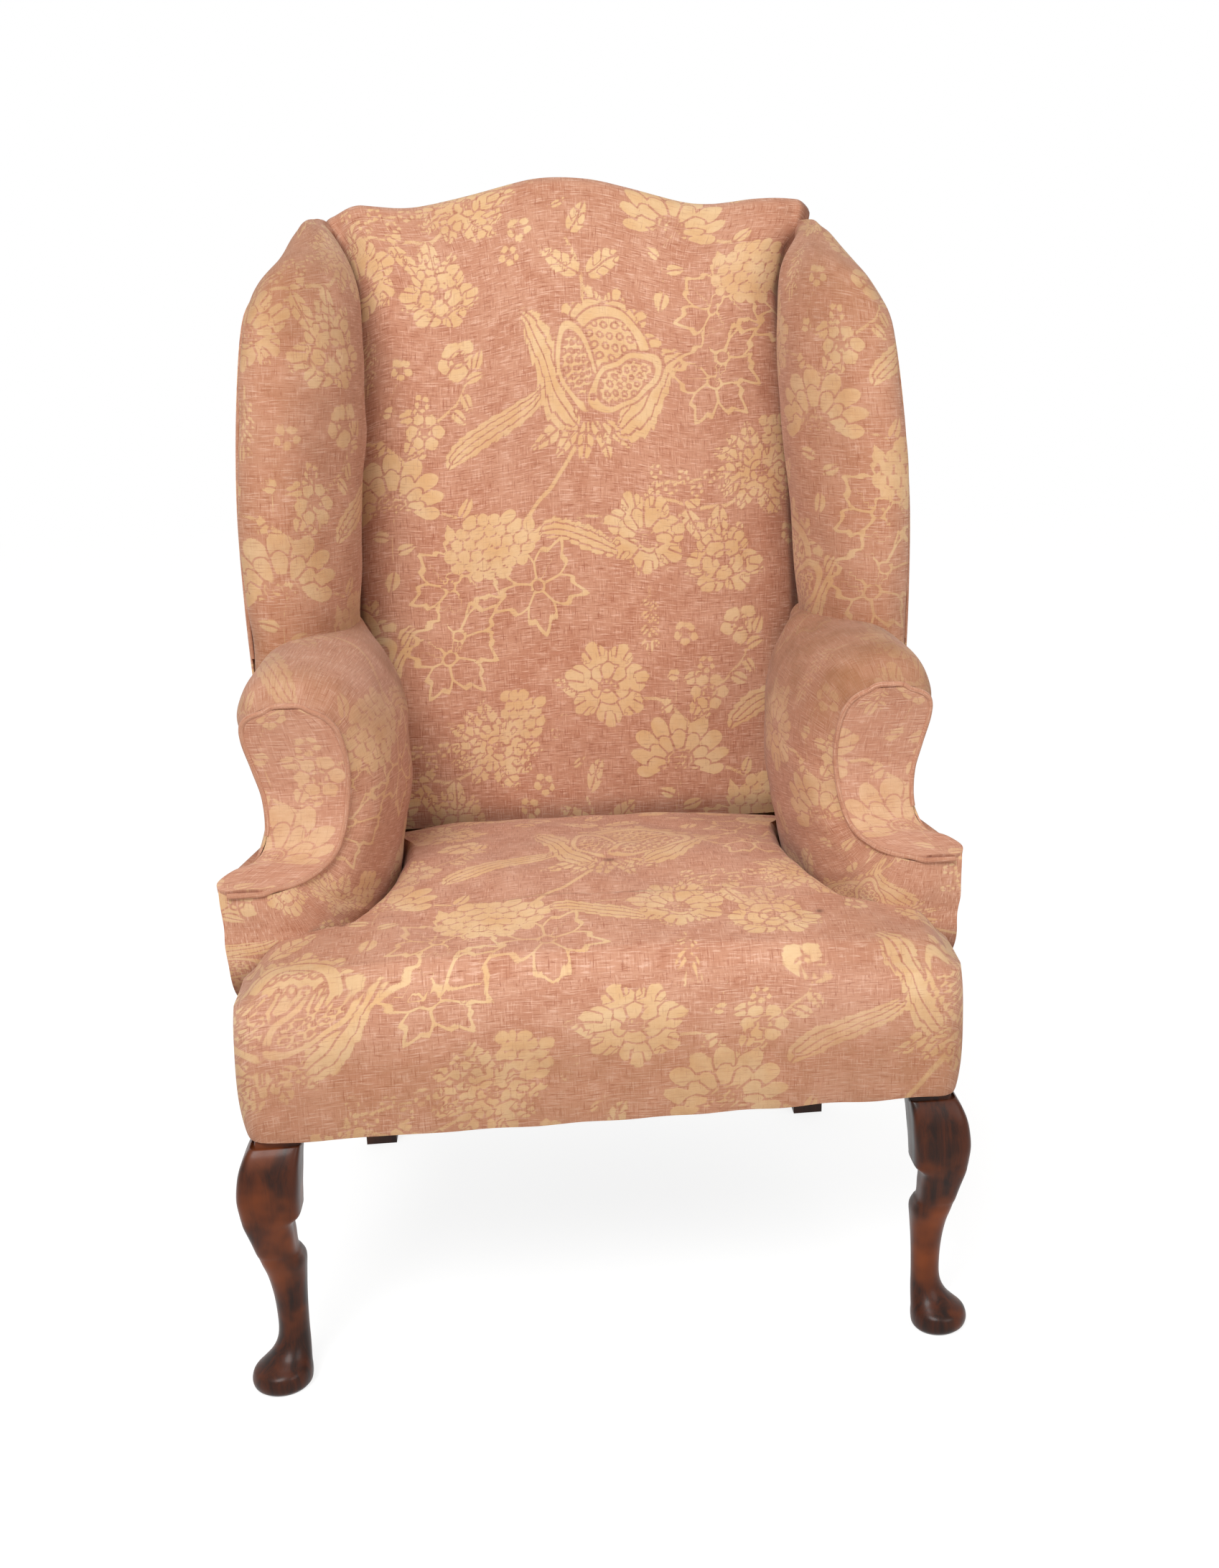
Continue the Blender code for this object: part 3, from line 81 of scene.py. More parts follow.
def frame_half_width(y):
    share = (y - RAIL_FRONT_Y) / (POST_FOOT_Y - RAIL_FRONT_Y)
    return FRAME_X_FRONT + (FRAME_X_BACK - FRAME_X_FRONT) * share


def arm_points(table, base=RAIL_TOP):
    """Drawn points in metres: mm inward from the tip, mm behind the lip, mm above a level."""
    table = np.asarray(table, float)
    inward, behind, above = np.moveaxis(table * MM, -1, 0)
    return np.stack([TIP_X - inward, LIP_Y + behind, base + above], axis=-1)


print("rails from", round(RAIL_BOTTOM, 3), "to", round(RAIL_TOP, 3), "m")

# %% [markdown]
# ## Curves and skins
#
# Upholstery is drawn well by ribs: a few section lines that a smooth surface passes through. A
# Catmull-Rom curve goes exactly through its points, so the skin lands on the solid's surface.
# A skin is then a grid of points about 3 mm apart, fine enough to carry the drawn flowers.

# %% Curve helpers
def curve(points, count, axis=0):
    """Points along a smooth curve through the given ones, along one axis of an array."""
    points = np.moveaxis(np.asarray(points, float), axis, 0)
    last = len(points) - 1
    place = np.linspace(0, last, count)
    i = np.minimum(place.astype(int), last - 1)
    t = (place - i).reshape((-1,) + (1,) * (points.ndim - 1))
    ends = np.concatenate([2 * points[:1] - points[1:2], points, 2 * points[-1:] - points[-2:-1]])
    a, b, c, d = ends[i], ends[i + 1], ends[i + 2], ends[i + 3]
    bent = (2 * a - 5 * b + 4 * c - d) * t ** 2 + (3 * b - a - 3 * c + d) * t ** 3
    return np.moveaxis(0.5 * (2 * b + (c - a) * t + bent), 0, axis)


def net(ribs, across, along):
    return curve(curve(ribs, along, axis=1), across, axis=0)


def even(line, count):
    """The same line with its points evenly spaced."""
    reach = np.concatenate([[0], np.cumsum(np.linalg.norm(np.diff(line, axis=0), axis=1))])
    wanted = np.linspace(0, reach[-1], count)
    return np.stack([np.interp(wanted, reach, line[:, k]) for k in range(line.shape[1])], axis=1)


def normals_of(grid):
    normal = np.cross(np.gradient(grid, axis=0), np.gradient(grid, axis=1))
    return normal / np.maximum(np.linalg.norm(normal, axis=2, keepdims=True), 1e-9)


def lay_flat(grid):
    """Cloth coordinates in metres: how far along the grid's columns and rows each point lies."""
    down = np.linalg.norm(np.diff(grid, axis=0), axis=2).mean(axis=1)
    along = np.linalg.norm(np.diff(grid, axis=1), axis=2).mean(axis=0)
    v = np.concatenate([[0], np.cumsum(down)])
    u = np.concatenate([[0], np.cumsum(along)])
    return np.stack(np.meshgrid(u, v), axis=-1)


def ease(value):
    value = np.clip(value, 0, 1)
    return value * value * (3 - 2 * value)


def wobble(u, v, size, seed):
    """A smooth bumpy field from -1 to 1 with bumps about size across: old stuffing is never even."""
    waves = np.random.default_rng(seed)
    total = 0.0
    for _ in range(6):
        turn, phase = waves.uniform(0, 2 * np.pi, 2)
        length = size * waves.uniform(0.7, 1.7)
        total = total + np.sin((u * np.cos(turn) + v * np.sin(turn)) * 2 * np.pi / length + phase)
    return total / 3.5


def mirrored(grid, sign):
    return grid * np.array([sign, 1, 1])


def on_bolt(flat, start, across=1, along=1):
    """Places on the bolt of cloth in mm, from flat places in metres; -1 turns a direction over."""
    return flat * 1000 * np.array([across, along]) + start


# %% [markdown]
# ## Drawing the cloth
#
# The real cover is a figured weave: cream flowers on a rose ground, with the ground showing
# again as fine lines between petals. A picture texture could carry it, but here each flower is
# a small drawing function. It gives two signed distances in mm: one to its outline, negative
# inside, and one to its inner lines, which changes sign on each line. A changing sign survives
# the coarse mesh, because the shader finds the exact place where it passes zero.
#
# The motifs repeat in a half drop: each next column starts half a repeat lower, the usual way
# to hide the repeat on a chair.

# %% Cloth drawing
REPEAT_WIDE, REPEAT_HIGH = 685.0, 665.0
FAR = 60.0


def lines_meet(a, b):
    """Two fields of signed distance to lines, joined into one that is zero on both."""
    return np.sign(a) * np.sign(b) * np.minimum(np.abs(a), np.abs(b))


def blank(x):
    return np.full(x.shape, FAR), np.full(x.shape, FAR)


def over(below, top):
    """Lay one drawn shape over another: its own edge becomes a line where they overlap."""
    shape, line = below
    top_shape, top_line = top
    line = np.where(top_shape < 0, top_line, line)
    return np.minimum(shape, top_shape), lines_meet(line, top_shape)


def turned(x, y, at, angle=0.0):
    """Coordinates as seen from a motif that stands at a place and leans over by an angle."""
    c, s = np.cos(np.radians(angle)), np.sin(np.radians(angle))
    dx, dy = x - at[0], y - at[1]
    return dx * c + dy * s, dy * c - dx * s


def round_flower(x, y, radius, petals, heart=0.4, squash=1.0):
    """A flower seen from above: scalloped petals round a scalloped heart."""
    y = y / squash
    r, turn = np.hypot(x, y), np.arctan2(x, -y)
    wave = np.abs(np.cos((turn - np.pi) * petals / 2))
    ripple = np.abs(np.sin((turn - np.pi) * petals * 1.5))
    rim = radius * (0.76 + 0.22 * (1 - wave ** 3) + 0.07 * ripple)
    gap = r * np.sin((turn - np.pi) * petals / 2) * 2 / petals
    inner = radius * heart * (0.85 + 0.15 * np.abs(np.sin((turn - np.pi) * 2.5)))
    outer_line = lines_meet(gap, r - inner)
    stroke = r * np.sin((turn - np.pi) * petals * 1.5) * 2 / (3 * petals)
    far_out = (r > 0.66 * radius) & (radius > 25)
    stroked = lines_meet(outer_line, np.where(wave < 0.9, stroke, FAR))
    outer_line = np.where(far_out, stroked, outer_line)
    spokes = r * np.sin(turn * 2.5 + 0.5 * np.pi) / 2.5
    inner_line = lines_meet(lines_meet(spokes, r - inner), r - inner * 0.45)
    return (r - rim) * 0.9, np.where(r > inner, outer_line, inner_line)


def fan(x, y, reach, petals, spread, width=1.0):
    """Petals that open like a fan from one point, upwards, over spread degrees."""
    half = np.radians(spread) / 2
    r, turn = np.hypot(x / width, y), np.arctan2(x / width, y)
    step = 2 * half / petals
    place = (turn + half) / step
    wave = np.sin(np.pi * place)
    side = (np.abs(turn) - half) * r
    rim = reach * (0.70 + 0.30 * np.abs(wave) ** 0.6) * (0.86 + 0.14 * np.cos(turn * 1.3))
    shape = np.maximum(r - rim, side)
    line = lines_meet(r * wave * step / np.pi, r - reach * 0.33)
    return shape, line


def leaf(x, y, length, width, bend=0.0, teeth=0.0, vein=24.0):
    """A leaf along +x from its stalk, curved by bend, with toothed edges and veins."""
    share = np.clip(x / length, 0, 1)
    y = y - bend * np.sin(np.pi * share * 0.5) ** 2
    half = width * np.sin(np.pi * share ** 0.8) ** 0.75
    if teeth:
        saw = (x / length * teeth) % 1.0
        half = half * (1 - 0.22 * saw)
    ends = np.maximum(-x, x - length)
    shape = np.maximum(np.abs(y) - half, ends) * 0.85
    ribs = np.sin(2 * np.pi * (x - 0.7 * np.abs(y)) / vein) * vein / (2 * np.pi)
    ribs = np.where(np.abs(y) > 0.25 * half, ribs, vein / (2 * np.pi))
    if width > 15:
        ribs = np.where(share > 0.06, np.abs(y) - 0.55 * half, vein)
    return shape, lines_meet(y, ribs)


def oval(x, y, wide, high, seeds=0.0):
    r = np.hypot(x / wide, y / high)
    shape = (r - 1) * min(wide, high)
    line = (r - 0.72) * min(wide, high)
    if seeds:
        row = np.round(y / seeds)
        sx = (x + 0.5 * seeds * (row % 2)) % seeds - 0.5 * seeds
        sy = y - row * seeds
        dots = np.hypot(sx, sy) - seeds * 0.30
        line = np.where(r < 0.72, lines_meet(dots, line), line)
    return shape, line


def berries(x, y, places, radius):
    field = blank(x)
    for px, py in places:
        r = np.hypot(x - px, y - py)
        field = over(field, (r - radius, np.full(x.shape, FAR)))
    return field


def stem(x, y, points, thick=1.5):
    """A thin stalk through a few points."""
    points = np.array(points, float)
    shape = np.full(x.shape, FAR)
    for (ax, ay), (bx, by) in zip(points, points[1:]):
        dx, dy = bx - ax, by - ay
        share = np.clip(((x - ax) * dx + (y - ay) * dy) / (dx * dx + dy * dy), 0, 1)
        shape = np.minimum(shape, np.hypot(x - ax - share * dx, y - ay - share * dy) - thick)
    return shape, np.full(x.shape, FAR)


def arc_points(start, middle, end, count=7):
    t = np.linspace(0, 1, count)[:, None]
    start, middle, end = (np.array(p, float) for p in (start, middle, end))
    return (1 - t) ** 2 * start + 2 * t * (1 - t) * middle + t * t * end


def lobed(x, y, radius, lobes):
    """A vine leaf drawn as an outline: pointed lobes, each with smaller points, and veins."""
    r, turn = np.hypot(x, y), np.arctan2(x, -y)
    phase = (turn - np.pi) * lobes / (2 * np.pi)
    lobe = np.abs(2 * (phase % 1.0) - 1)
    point = np.abs(2 * ((phase * 3) % 1.0) - 1)
    rim = radius * (0.44 + 0.44 * lobe + 0.17 * point)
    spoke = r * np.cos((turn - np.pi) * lobes / 2) * 2 / lobes
    line = np.where((r > radius * 0.16) & (r < radius * 0.72), spoke, FAR)
    return (r - rim) * 0.8, lines_meet(line, r - radius * 0.14)


def sprig(x, y, length, pairs, size):
    """A straight stalk along +x with pairs of small leaves."""
    field = stem(x, y, [(0, 0), (length, 0)], 1.3)
    for k in range(pairs):
        at = length * (0.25 + 0.75 * k / max(1, pairs - 1))
        for side in (-1, 1):
            field = over(field, leaf(*turned(x, y, (at, 0), side * 48), size, size * 0.28, vein=50))
    return over(field, leaf(*turned(x, y, (length, 0), 0), size * 1.2, size * 0.3, vein=50))


def near(px, py, at):
    """Place relative to the nearest repeat of a motif, in a half-drop repeat."""
    dx, dy = px - at[0], py - at[1]
    a = dx / REPEAT_WIDE + dy / REPEAT_HIGH
    b = dx / REPEAT_WIDE - dy / REPEAT_HIGH
    a, b = a - np.round(a), b - np.round(b)
    return (a + b) * REPEAT_WIDE / 2, (a - b) * REPEAT_HIGH / 2


def pomegranate(x, y):
    field = stem(x, y, arc_points((-12, -58), (-45, -120), (-112, -172)), 2.0)
    for at, angle, length, width, bend, teeth in (
            ((-18, -48), 205, 62, 9, 6, 0), ((-16, -50), 232, 50, 9, 0, 0),
            ((-12, -52), 262, 44, 8, 0, 0), ((-6, -52), 292, 44, 8, 0, 0), ((0, -52), 322, 40, 8, 0, 0),
            ((-20, -60), 150, 108, 23, -66, 8), ((12, -64), 20, 104, 23, 58, 8)):
        field = over(field, leaf(*turned(x, y, at, angle), length, width, bend, teeth))
    u, v = turned(x, y, (10, 16), 4)
    crown = round_flower(u, v, 52, 11, heart=0.86)
    field = over(field, (np.maximum(crown[0], -v - 10), crown[1]))
    field = over(field, oval(*turned(x, y, (12, 14), 0), 40, 38, seeds=10))
    field = over(field, oval(*turned(x, y, (-20, -6), 14), 19, 44, seeds=7))
    field = over(field, oval(*turned(x, y, (26, -14), -52), 20, 46, seeds=8))
    return over(field, leaf(*turned(x, y, (-8, -34), 6), 4, 3, vein=50))


def spray(x, y):
    field = stem(x, y, arc_points((0, -48), (2, -10), (-16, 20)), 1.5)
    field = over(field, stem(x, y, arc_points((-16, 20), (-30, 50), (-42, 78)), 1.2))
    field = over(field, stem(x, y, arc_points((-10, 8), (-40, 6), (-66, 34)), 1.2))
    for at, size in (((-62, 34), 13), ((-78, 8), 12), ((-84, 56), 9),
                     ((-70, 70), 6), ((-46, 88), 6), ((-38, 106), 5)):
        field = over(field, round_flower(*turned(x, y, at), size, 5))
    for at, angle, length in (((-12, 24), 60, 40), ((4, -22), 35, 52),
                              ((-2, -22), 140, 52), ((-30, 52), 20, 22)):
        field = over(field, leaf(*turned(x, y, at, angle), length, length * 0.24, 4))
    return field


def fan_flower(x, y):
    field = stem(x, y, arc_points((20, -14), (60, -30), (104, -34)), 1.5)
    field = over(field, stem(x, y, arc_points((4, -20), (-6, -50), (0, -84)), 1.4))
    u, v = turned(x, y, (0, -16))
    field = over(field, fan(u, v, 58, 9, 230, 1.15))
    field = over(field, fan(u, v, 38, 7, 200, 1.15))
    field = over(field, oval(u, v - 4, 15, 11, seeds=6))
    for at, angle, length in (((-4, -52), 160, 22), ((2, -64), 20, 24),
                              ((0, -84), 262, 26), ((70, -30), 60, 24)):
        field = over(field, leaf(*turned(x, y, at, angle), length, length * 0.3, 0, vein=50))
    return field


def peony(x, y):
    field = blank(x)
    for angle, length in ((20, 50), (160, 50), (250, 46), (300, 46), (72, 60)):
        field = over(field, leaf(*turned(x, y, (0, 0), angle), length, 13, 4, 5))
    field = over(field, round_flower(*turned(x, y, (0, 2)), 42, 7, heart=0.5))
    u, v = turned(x, y, (0, -6))
    field = over(field, fan(u, v, 34, 6, 190))
    return over(field, oval(u, v - 2, 10, 9, seeds=5))


def second_peony(x, y):
    field = blank(x)
    for angle, length in ((100, 56), (60, 50), (190, 44), (340, 46)):
        field = over(field, leaf(*turned(x, y, (0, 0), angle), length, 12, 3, 5))
    field = over(field, round_flower(x, y, 40, 6, heart=0.62, squash=0.85))
    return over(field, round_flower(x, y - 3, 22, 5, heart=0.5))


def berry_peony(x, y):
    field = stem(x, y, arc_points((-10, -20), (-50, -48), (-104, -30)), 1.7)
    places = [(12 + 11 * i + 5 * (j % 2), 14 + 10 * j) for j in range(5) for i in range(4) if i + j < 7]
    field = over(field, berries(x, y, places, 7.0))
    for angle, length in ((100, 58), (125, 56), (150, 60), (175, 52), (200, 56),
                          (235, 52), (275, 50), (315, 52), (350, 58)):
        field = over(field, leaf(*turned(x, y, (0, 0), angle), length, 13, 3, 3))
    field = over(field, round_flower(x - 4, y + 2, 30, 6, heart=0.5))
    for at, angle, length in (((-46, -34), 262, 40), ((-84, -38), 290, 46), ((-70, -38), 120, 18)):
        field = over(field, leaf(*turned(x, y, at, angle), length, 10, 5, 0))
    return field


def rose(x, y):
    field = stem(x, y, arc_points((24, -16), (70, -8), (96, -50)), 1.7)
    field = over(field, stem(x, y, arc_points((76, -18), (72, 20), (84, 46)), 1.4))
    field = over(field, leaf(*turned(x, y, (-20, -12), 190), 40, 10, -22, 4))
    field = over(field, round_flower(x, y, 46, 7, heart=0.5))
    field = over(field, fan(*turned(x, y, (0, -6), 0), 30, 5, 180))
    for at, angle, length in (((92, -40), 20, 30), ((92, -34), 60, 26), ((84, 6), 10, 26),
                              ((74, -20), 200, 20), ((82, 10), 160, 18)):
        field = over(field, leaf(*turned(x, y, at, angle), length, 9, 3, 3))
    for at, size in (((88, 58), 14), ((110, 24), 11)):
        field = over(field, round_flower(*turned(x, y, at), size, 5))
    return field


def curved_leaves(x, y):
    u, v = turned(x, y, (-62, 4), 62)
    field = leaf(u, v, 116, 19, -60, 11)
    field = over(field, stem(x, y, arc_points((24, -76), (60, -60), (128, -62)), 1.5))
    return over(field, leaf(*turned(x, y, (28, -74), 12), 108, 17, -46, 10))


def cluster(x, y):
    stacked = [(13 * i + 6.5 * (j % 2) - 40, 11 * j - 30) for j in range(6) for i in range(7)]
    places = [(px, py) for px, py in stacked if (px / 46) ** 2 + (py / 34) ** 2 < 1]
    return berries(x, y, places, 7.6)


def hanging_sprig(x, y):
    u, v = turned(x, y, (0, 34), 268)
    return sprig(u, v, 58, 4, 17)


def small_flowers(x, y):
    field = stem(x, y, arc_points((0, 0), (24, -30), (-30, -68)), 1.2)
    field = over(field, round_flower(x, y, 21, 5))
    field = over(field, round_flower(*turned(x, y, (-34, -70)), 20, 6))
    for at, angle in (((6, -24), 20), ((4, -34), 300), ((16, -14), 70), ((-10, -52), 330)):
        field = over(field, leaf(*turned(x, y, at, angle), 24, 7, vein=50))
    return field


def side_spray(x, y):
    field = stem(x, y, arc_points((-50, -10), (0, 6), (56, 2)), 1.3)
    for k in range(6):
        field = over(field, round_flower(*turned(x, y, (-50 + 15 * k, 8 * (-1) ** k - 4)), 8.5, 5))
    field = over(field, leaf(*turned(x, y, (50, 0), 200), 34, 11, 4, 0))
    return over(field, leaf(*turned(x, y, (64, -6), 300), 50, 13, 6, 0))


FILLED = (
    (pomegranate, (0, 0), 1.3), (spray, (-18, 124), 1.12), (fan_flower, (86, 200), 1.15),
    (peony, (50, -199), 1.2), (second_peony, (146, -230), 1.2),
    (berry_peony, (-146, -452), 1.13), (rose, (-2, -384), 1.13),
    (curved_leaves, (-118, -112), 1.15), (cluster, (-140, -204), 1.2), (hanging_sprig, (55, -300), 1.1),
    (small_flowers, (-176, 24), 1.2), (side_spray, (122, -126), 1.1),
)
OUTLINED = (((171, 102), 56, 7, 20), ((160, 22), 54, 5, 160), ((-84, -262), 58, 5, -30),
            ((-192, -250), 50, 5, 40), ((-196, -338), 56, 5, 80))


def draw_cloth(px, py):
    """Figure, line and outline fields of the woven pattern, in mm, at places on the cloth in mm."""
    shape, line = blank(px)
    outline = np.full(px.shape, FAR)
    outline_line = np.full(px.shape, FAR)
    for motif, at, grown in FILLED:
        x, y = near(px, py, at)
        close = (np.abs(x) < 190) & (np.abs(y) < 230)
        new_shape, new_line = motif(x[close] / grown, y[close] / grown)
        better = new_shape < shape[close]
        shape[close] = np.where(better, new_shape, shape[close])
        line[close] = np.where(better, new_line, line[close])
    for at, radius, lobes, angle in OUTLINED:
        x, y = turned(*near(px, py, at), (0, 0), angle)
        new_shape, new_line = lobed(x, y, radius, lobes)
        better = new_shape < outline
        outline = np.where(better, new_shape, outline)
        outline_line = np.where(better, new_line, outline_line)
    return shape, line, outline, outline_line


# %% [markdown]
# ## Materials
#
# Colours are sRGB hex, as a paint chart gives them, turned to the linear values that the
# shader wants. One function adds a node, sets it and links it.

# %% Colour and node helpers
def linear(code):
    parts = [int(code[i:i + 2], 16) / 255 for i in (1, 3, 5)]
    return (*[c / 12.92 if c <= 0.04045 else ((c + 0.055) / 1.055) ** 2.4 for c in parts], 1.0)


def add(tree, kind, inputs=None, out=0, **settings):
    """Add a node with its settings, give its inputs values or links, and return one output."""
    made = tree.nodes.new("ShaderNode" + kind)
    for key, value in settings.items():
        setattr(made, key, value)
    for key, value in (inputs or {}).items():
        if isinstance(value, bpy.types.NodeSocket):
            tree.links.new(value, made.inputs[key])
        else:
            made.inputs[key].default_value = value
    return made.outputs[out]


def new_material(name):
    made = bpy.data.materials.new(name)
    made.use_nodes = True
    return made, made.node_tree, made.node_tree.nodes["Principled BSDF"]


def soft_step(tree, value, low, high):
    """0 at low and 1 at high, with an eased edge; low may be the larger."""
    return add(tree, "MapRange", {0: value, 1: low, 2: high}, interpolation_type="SMOOTHSTEP")


def blend(tree, share, first, second):
    return add(tree, "Mix", {0: share, 6: first, 7: second}, out=2, data_type="RGBA")


# %% [markdown]
# ### Figured linen and cotton cloth
#
# The cover is woven from thick, uneven linen threads. Uneven threads, slubs, give the fine
# crossed streaks that the eye reads as old linen. Real threads here are about 0.5 mm apart, too
# fine for the picture, so they are drawn 1.3 mm apart. The cream figure is a second weft that
# floats over the ground, a little raised and a little paler. Three painted fields darken and
# pale it: soil, where hands and heads rub, which on the wings, arms and seat border also holds
# painted shade; fade, where sun and rubbing take the red out; and a painted shadow in the joins
# and recesses where shade falls.

# %% Woven cloth
def woven_cloth(name, ground_a, ground_b, cream_a, cream_b):
    made, tree, shader = new_material(name)
    cloth = add(tree, "UVMap", uv_map="cloth")

    def field(label):
        return add(tree, "Attribute", attribute_name=label, out="Fac")

    def noise(stretch, scale, detail=3.0, rough=0.6):
        place = add(tree, "VectorMath", {0: cloth, 1: stretch}, operation="MULTIPLY")
        return add(tree, "TexNoise", {"Vector": place, "Scale": scale, "Detail": detail, "Roughness": rough},
                   out="Fac")

    def times(a, b, operation="MULTIPLY"):
        return add(tree, "Math", {0: a, 1: b}, operation=operation)

    weft = noise((55.0, 640.0, 1.0), 1.0)
    warp = noise((640.0, 55.0, 1.0), 1.0)
    mottle = noise((1.0, 1.0, 1.0), 22.0, 5.0)
    ground = blend(tree, soft_step(tree, mottle, 0.35, 0.65), linear(ground_a), linear(ground_b))
    ground = blend(tree, soft_step(tree, weft, 0.52, 0.68), ground, linear("#E0B49C"))
    ground = blend(tree, soft_step(tree, warp, 0.54, 0.72), ground, linear("#DDAF96"))
    ground = blend(tree, soft_step(tree, weft, 0.45, 0.30), ground, linear("#A2654C"))
    ground = blend(tree, soft_step(tree, warp, 0.44, 0.29), ground, linear("#A66850"))
    cream = blend(tree, soft_step(tree, mottle, 0.3, 0.7), linear(cream_a), linear(cream_b))
    cream = blend(tree, soft_step(tree, weft, 0.45, 0.25), cream, linear("#C7977A"))
    cream = blend(tree, soft_step(tree, warp, 0.42, 0.24), cream, linear("#CB9B7C"))

    ragged = noise((900.0, 900.0, 1.0), 1.0, 1.0)
    jitter = add(tree, "MapRange", {0: ragged, 1: 0.25, 2: 0.75, 3: -0.9, 4: 0.9})
    figure = add(tree, "Math", {0: field("figure"), 1: jitter}, operation="ADD")
    line = add(tree, "Math", {0: field("line")}, operation="ABSOLUTE")
    outline = add(tree, "Math", {0: field("outline"), 1: jitter}, operation="ADD")
    outline_line = add(tree, "Math", {0: field("outline_line")}, operation="ABSOLUTE")
    filled = times(soft_step(tree, figure, 0.6, -0.6), soft_step(tree, line, 0.5, 1.4))
    rim = soft_step(tree, add(tree, "Math", {0: outline}, operation="ABSOLUTE"), 3.1, 2.0)
    inner = times(soft_step(tree, outline, 0.0, -1.0), soft_step(tree, outline_line, 1.8, 0.9))
    shown = times(filled, times(rim, inner, "MAXIMUM"), "MAXIMUM")
    worn = add(tree, "MapRange", {0: field("fade"), 1: 0.0, 2: 1.0, 3: 0.95, 4: 0.35})
    colour = blend(tree, times(shown, worn), ground, cream)
    colour = blend(tree, times(field("fade"), 0.35), colour, linear("#CB9C88"))
    # Soil, and painted shade on the wings, arms and seat border: mixed toward brown, in patches.
    stains = noise((1.0, 1.0, 1.0), 34.0, 4.0)
    patchy = add(tree, "MapRange", {0: stains, 1: 0.3, 2: 0.7, 3: 0.55, 4: 1.0})
    colour = blend(tree, times(field("soil_and_shade"), patchy), colour, linear("#905E38"))
    # Painted shadow: dark brown where shade falls in the joins and recesses.
    colour = blend(tree, field("shadow"), colour, linear("#5E3527"))
    tree.links.new(colour, shader.inputs["Base Color"])

    period = 0.314 / 0.0013
    bands = [add(tree, "TexWave", {"Vector": cloth, "Scale": period, "Distortion": 1.5, "Detail": 1.0,
                                   "Detail Scale": 0.4}, out="Fac", bands_direction=way) for way in "XY"]
    height = times(times(bands[0], bands[1]), 0.5)
    height = times(times(height, times(weft, warp, "ADD"), "ADD"), times(shown, 0.5), "ADD")
    bump = add(tree, "Bump", {"Strength": 0.35, "Distance": 0.0009, "Height": height})
    tree.links.new(bump, shader.inputs["Normal"])
    shader.inputs["Roughness"].default_value = 0.92
    shader.inputs["Sheen Weight"].default_value = 0.12
    shader.inputs["Sheen Roughness"].default_value = 0.5
    shader.inputs["Specular IOR Level"].default_value = 0.25
    return made


figured_cloth = woven_cloth("figured_linen", "#BE8468", "#CA9478", "#DFB480", "#E8C89A")

# %% [markdown]
# ### Wood, jute, steel and lining
#
# The front legs are walnut, stained dark and polished by years of dusting: a thin coat over
# brown wood with long grain. Beech, jute and spring steel are the hidden carcase, seen only
# from below or where a cover would be lifted, and they are plainer.

# %% Other materials
def wood(name, dark, middle, light, roughness, coat, stretch=(60.0, 60.0, 5.0)):
    made, tree, shader = new_material(name)
    place = add(tree, "TexCoord", out="Object")
    long_place = add(tree, "VectorMath", {0: place, 1: stretch}, operation="MULTIPLY")
    grain = add(tree, "TexNoise", {"Vector": long_place, "Scale": 1.0, "Detail": 8.0, "Roughness": 0.65,
                                   "Distortion": 0.6}, out="Fac")
    patches = add(tree, "TexNoise", {"Vector": place, "Scale": 14.0, "Detail": 3.0}, out="Fac")
    colour = blend(tree, soft_step(tree, grain, 0.35, 0.62), linear(dark), linear(middle))
    colour = blend(tree, soft_step(tree, patches, 0.50, 0.75), colour, linear(light))
    tree.links.new(colour, shader.inputs["Base Color"])
    rough = add(tree, "MapRange", {0: grain, 1: 0.3, 2: 0.7, 3: roughness - 0.06, 4: roughness + 0.1})
    tree.links.new(rough, shader.inputs["Roughness"])
    bump = add(tree, "Bump", {"Strength": 0.15, "Distance": 0.0006, "Height": grain})
    tree.links.new(bump, shader.inputs["Normal"])
    shader.inputs["Specular IOR Level"].default_value = 0.2
    shader.inputs["Coat Weight"].default_value = coat
    shader.inputs["Coat Roughness"].default_value = 0.18
    return made


def fibre(name, first, second, size, metallic=0.0, roughness=0.9):
    made, tree, shader = new_material(name)
    place = add(tree, "TexCoord", out="Object")
    weave = add(tree, "TexVoronoi", {"Vector": place, "Scale": 1 / size}, out="Distance")
    speck = add(tree, "TexNoise", {"Vector": place, "Scale": 0.4 / size, "Detail": 5.0}, out="Fac")
    colour = blend(tree, soft_step(tree, speck, 0.35, 0.65), linear(first), linear(second))
    tree.links.new(colour, shader.inputs["Base Color"])
    bump = add(tree, "Bump", {"Strength": 0.4, "Distance": 0.0006, "Height": weave})
    tree.links.new(bump, shader.inputs["Normal"])
    shader.inputs["Metallic"].default_value = metallic
    shader.inputs["Roughness"].default_value = roughness
    return made


walnut = wood("stained_walnut", "#1E0A02", "#461C05", "#733510", 0.36, 0.10)
rear_wood = wood("stained_beech", "#20120C", "#38201A", "#4C2C1C", 0.5, 0.1)
beech = wood("raw_beech", "#A98257", "#BE976B", "#C8A67E", 0.65, 0.0)
jute = fibre("woven_jute", "#8F6E43", "#A98755", 0.0018)
spring_steel = fibre("coppered_spring_steel", "#6E5646", "#8C705A", 0.004, metallic=1.0, roughness=0.42)
lining_cloth = fibre("black_bonded_lining", "#1B1918", "#2C2927", 0.0015)

for name, thing in nodes.items():
    if name.startswith(("webbing", "seat_hessian")):
        finish = jute
    elif name.startswith("seat_spring"):
        finish = spring_steel
    elif name.startswith("back_post"):
        finish = rear_wood
    elif name.startswith("bottom_lining"):
        finish = lining_cloth
    else:
        finish = beech
    for slot in thing.material_slots:
        slot.material = finish
print("finishes:", len(bpy.data.materials), "materials")


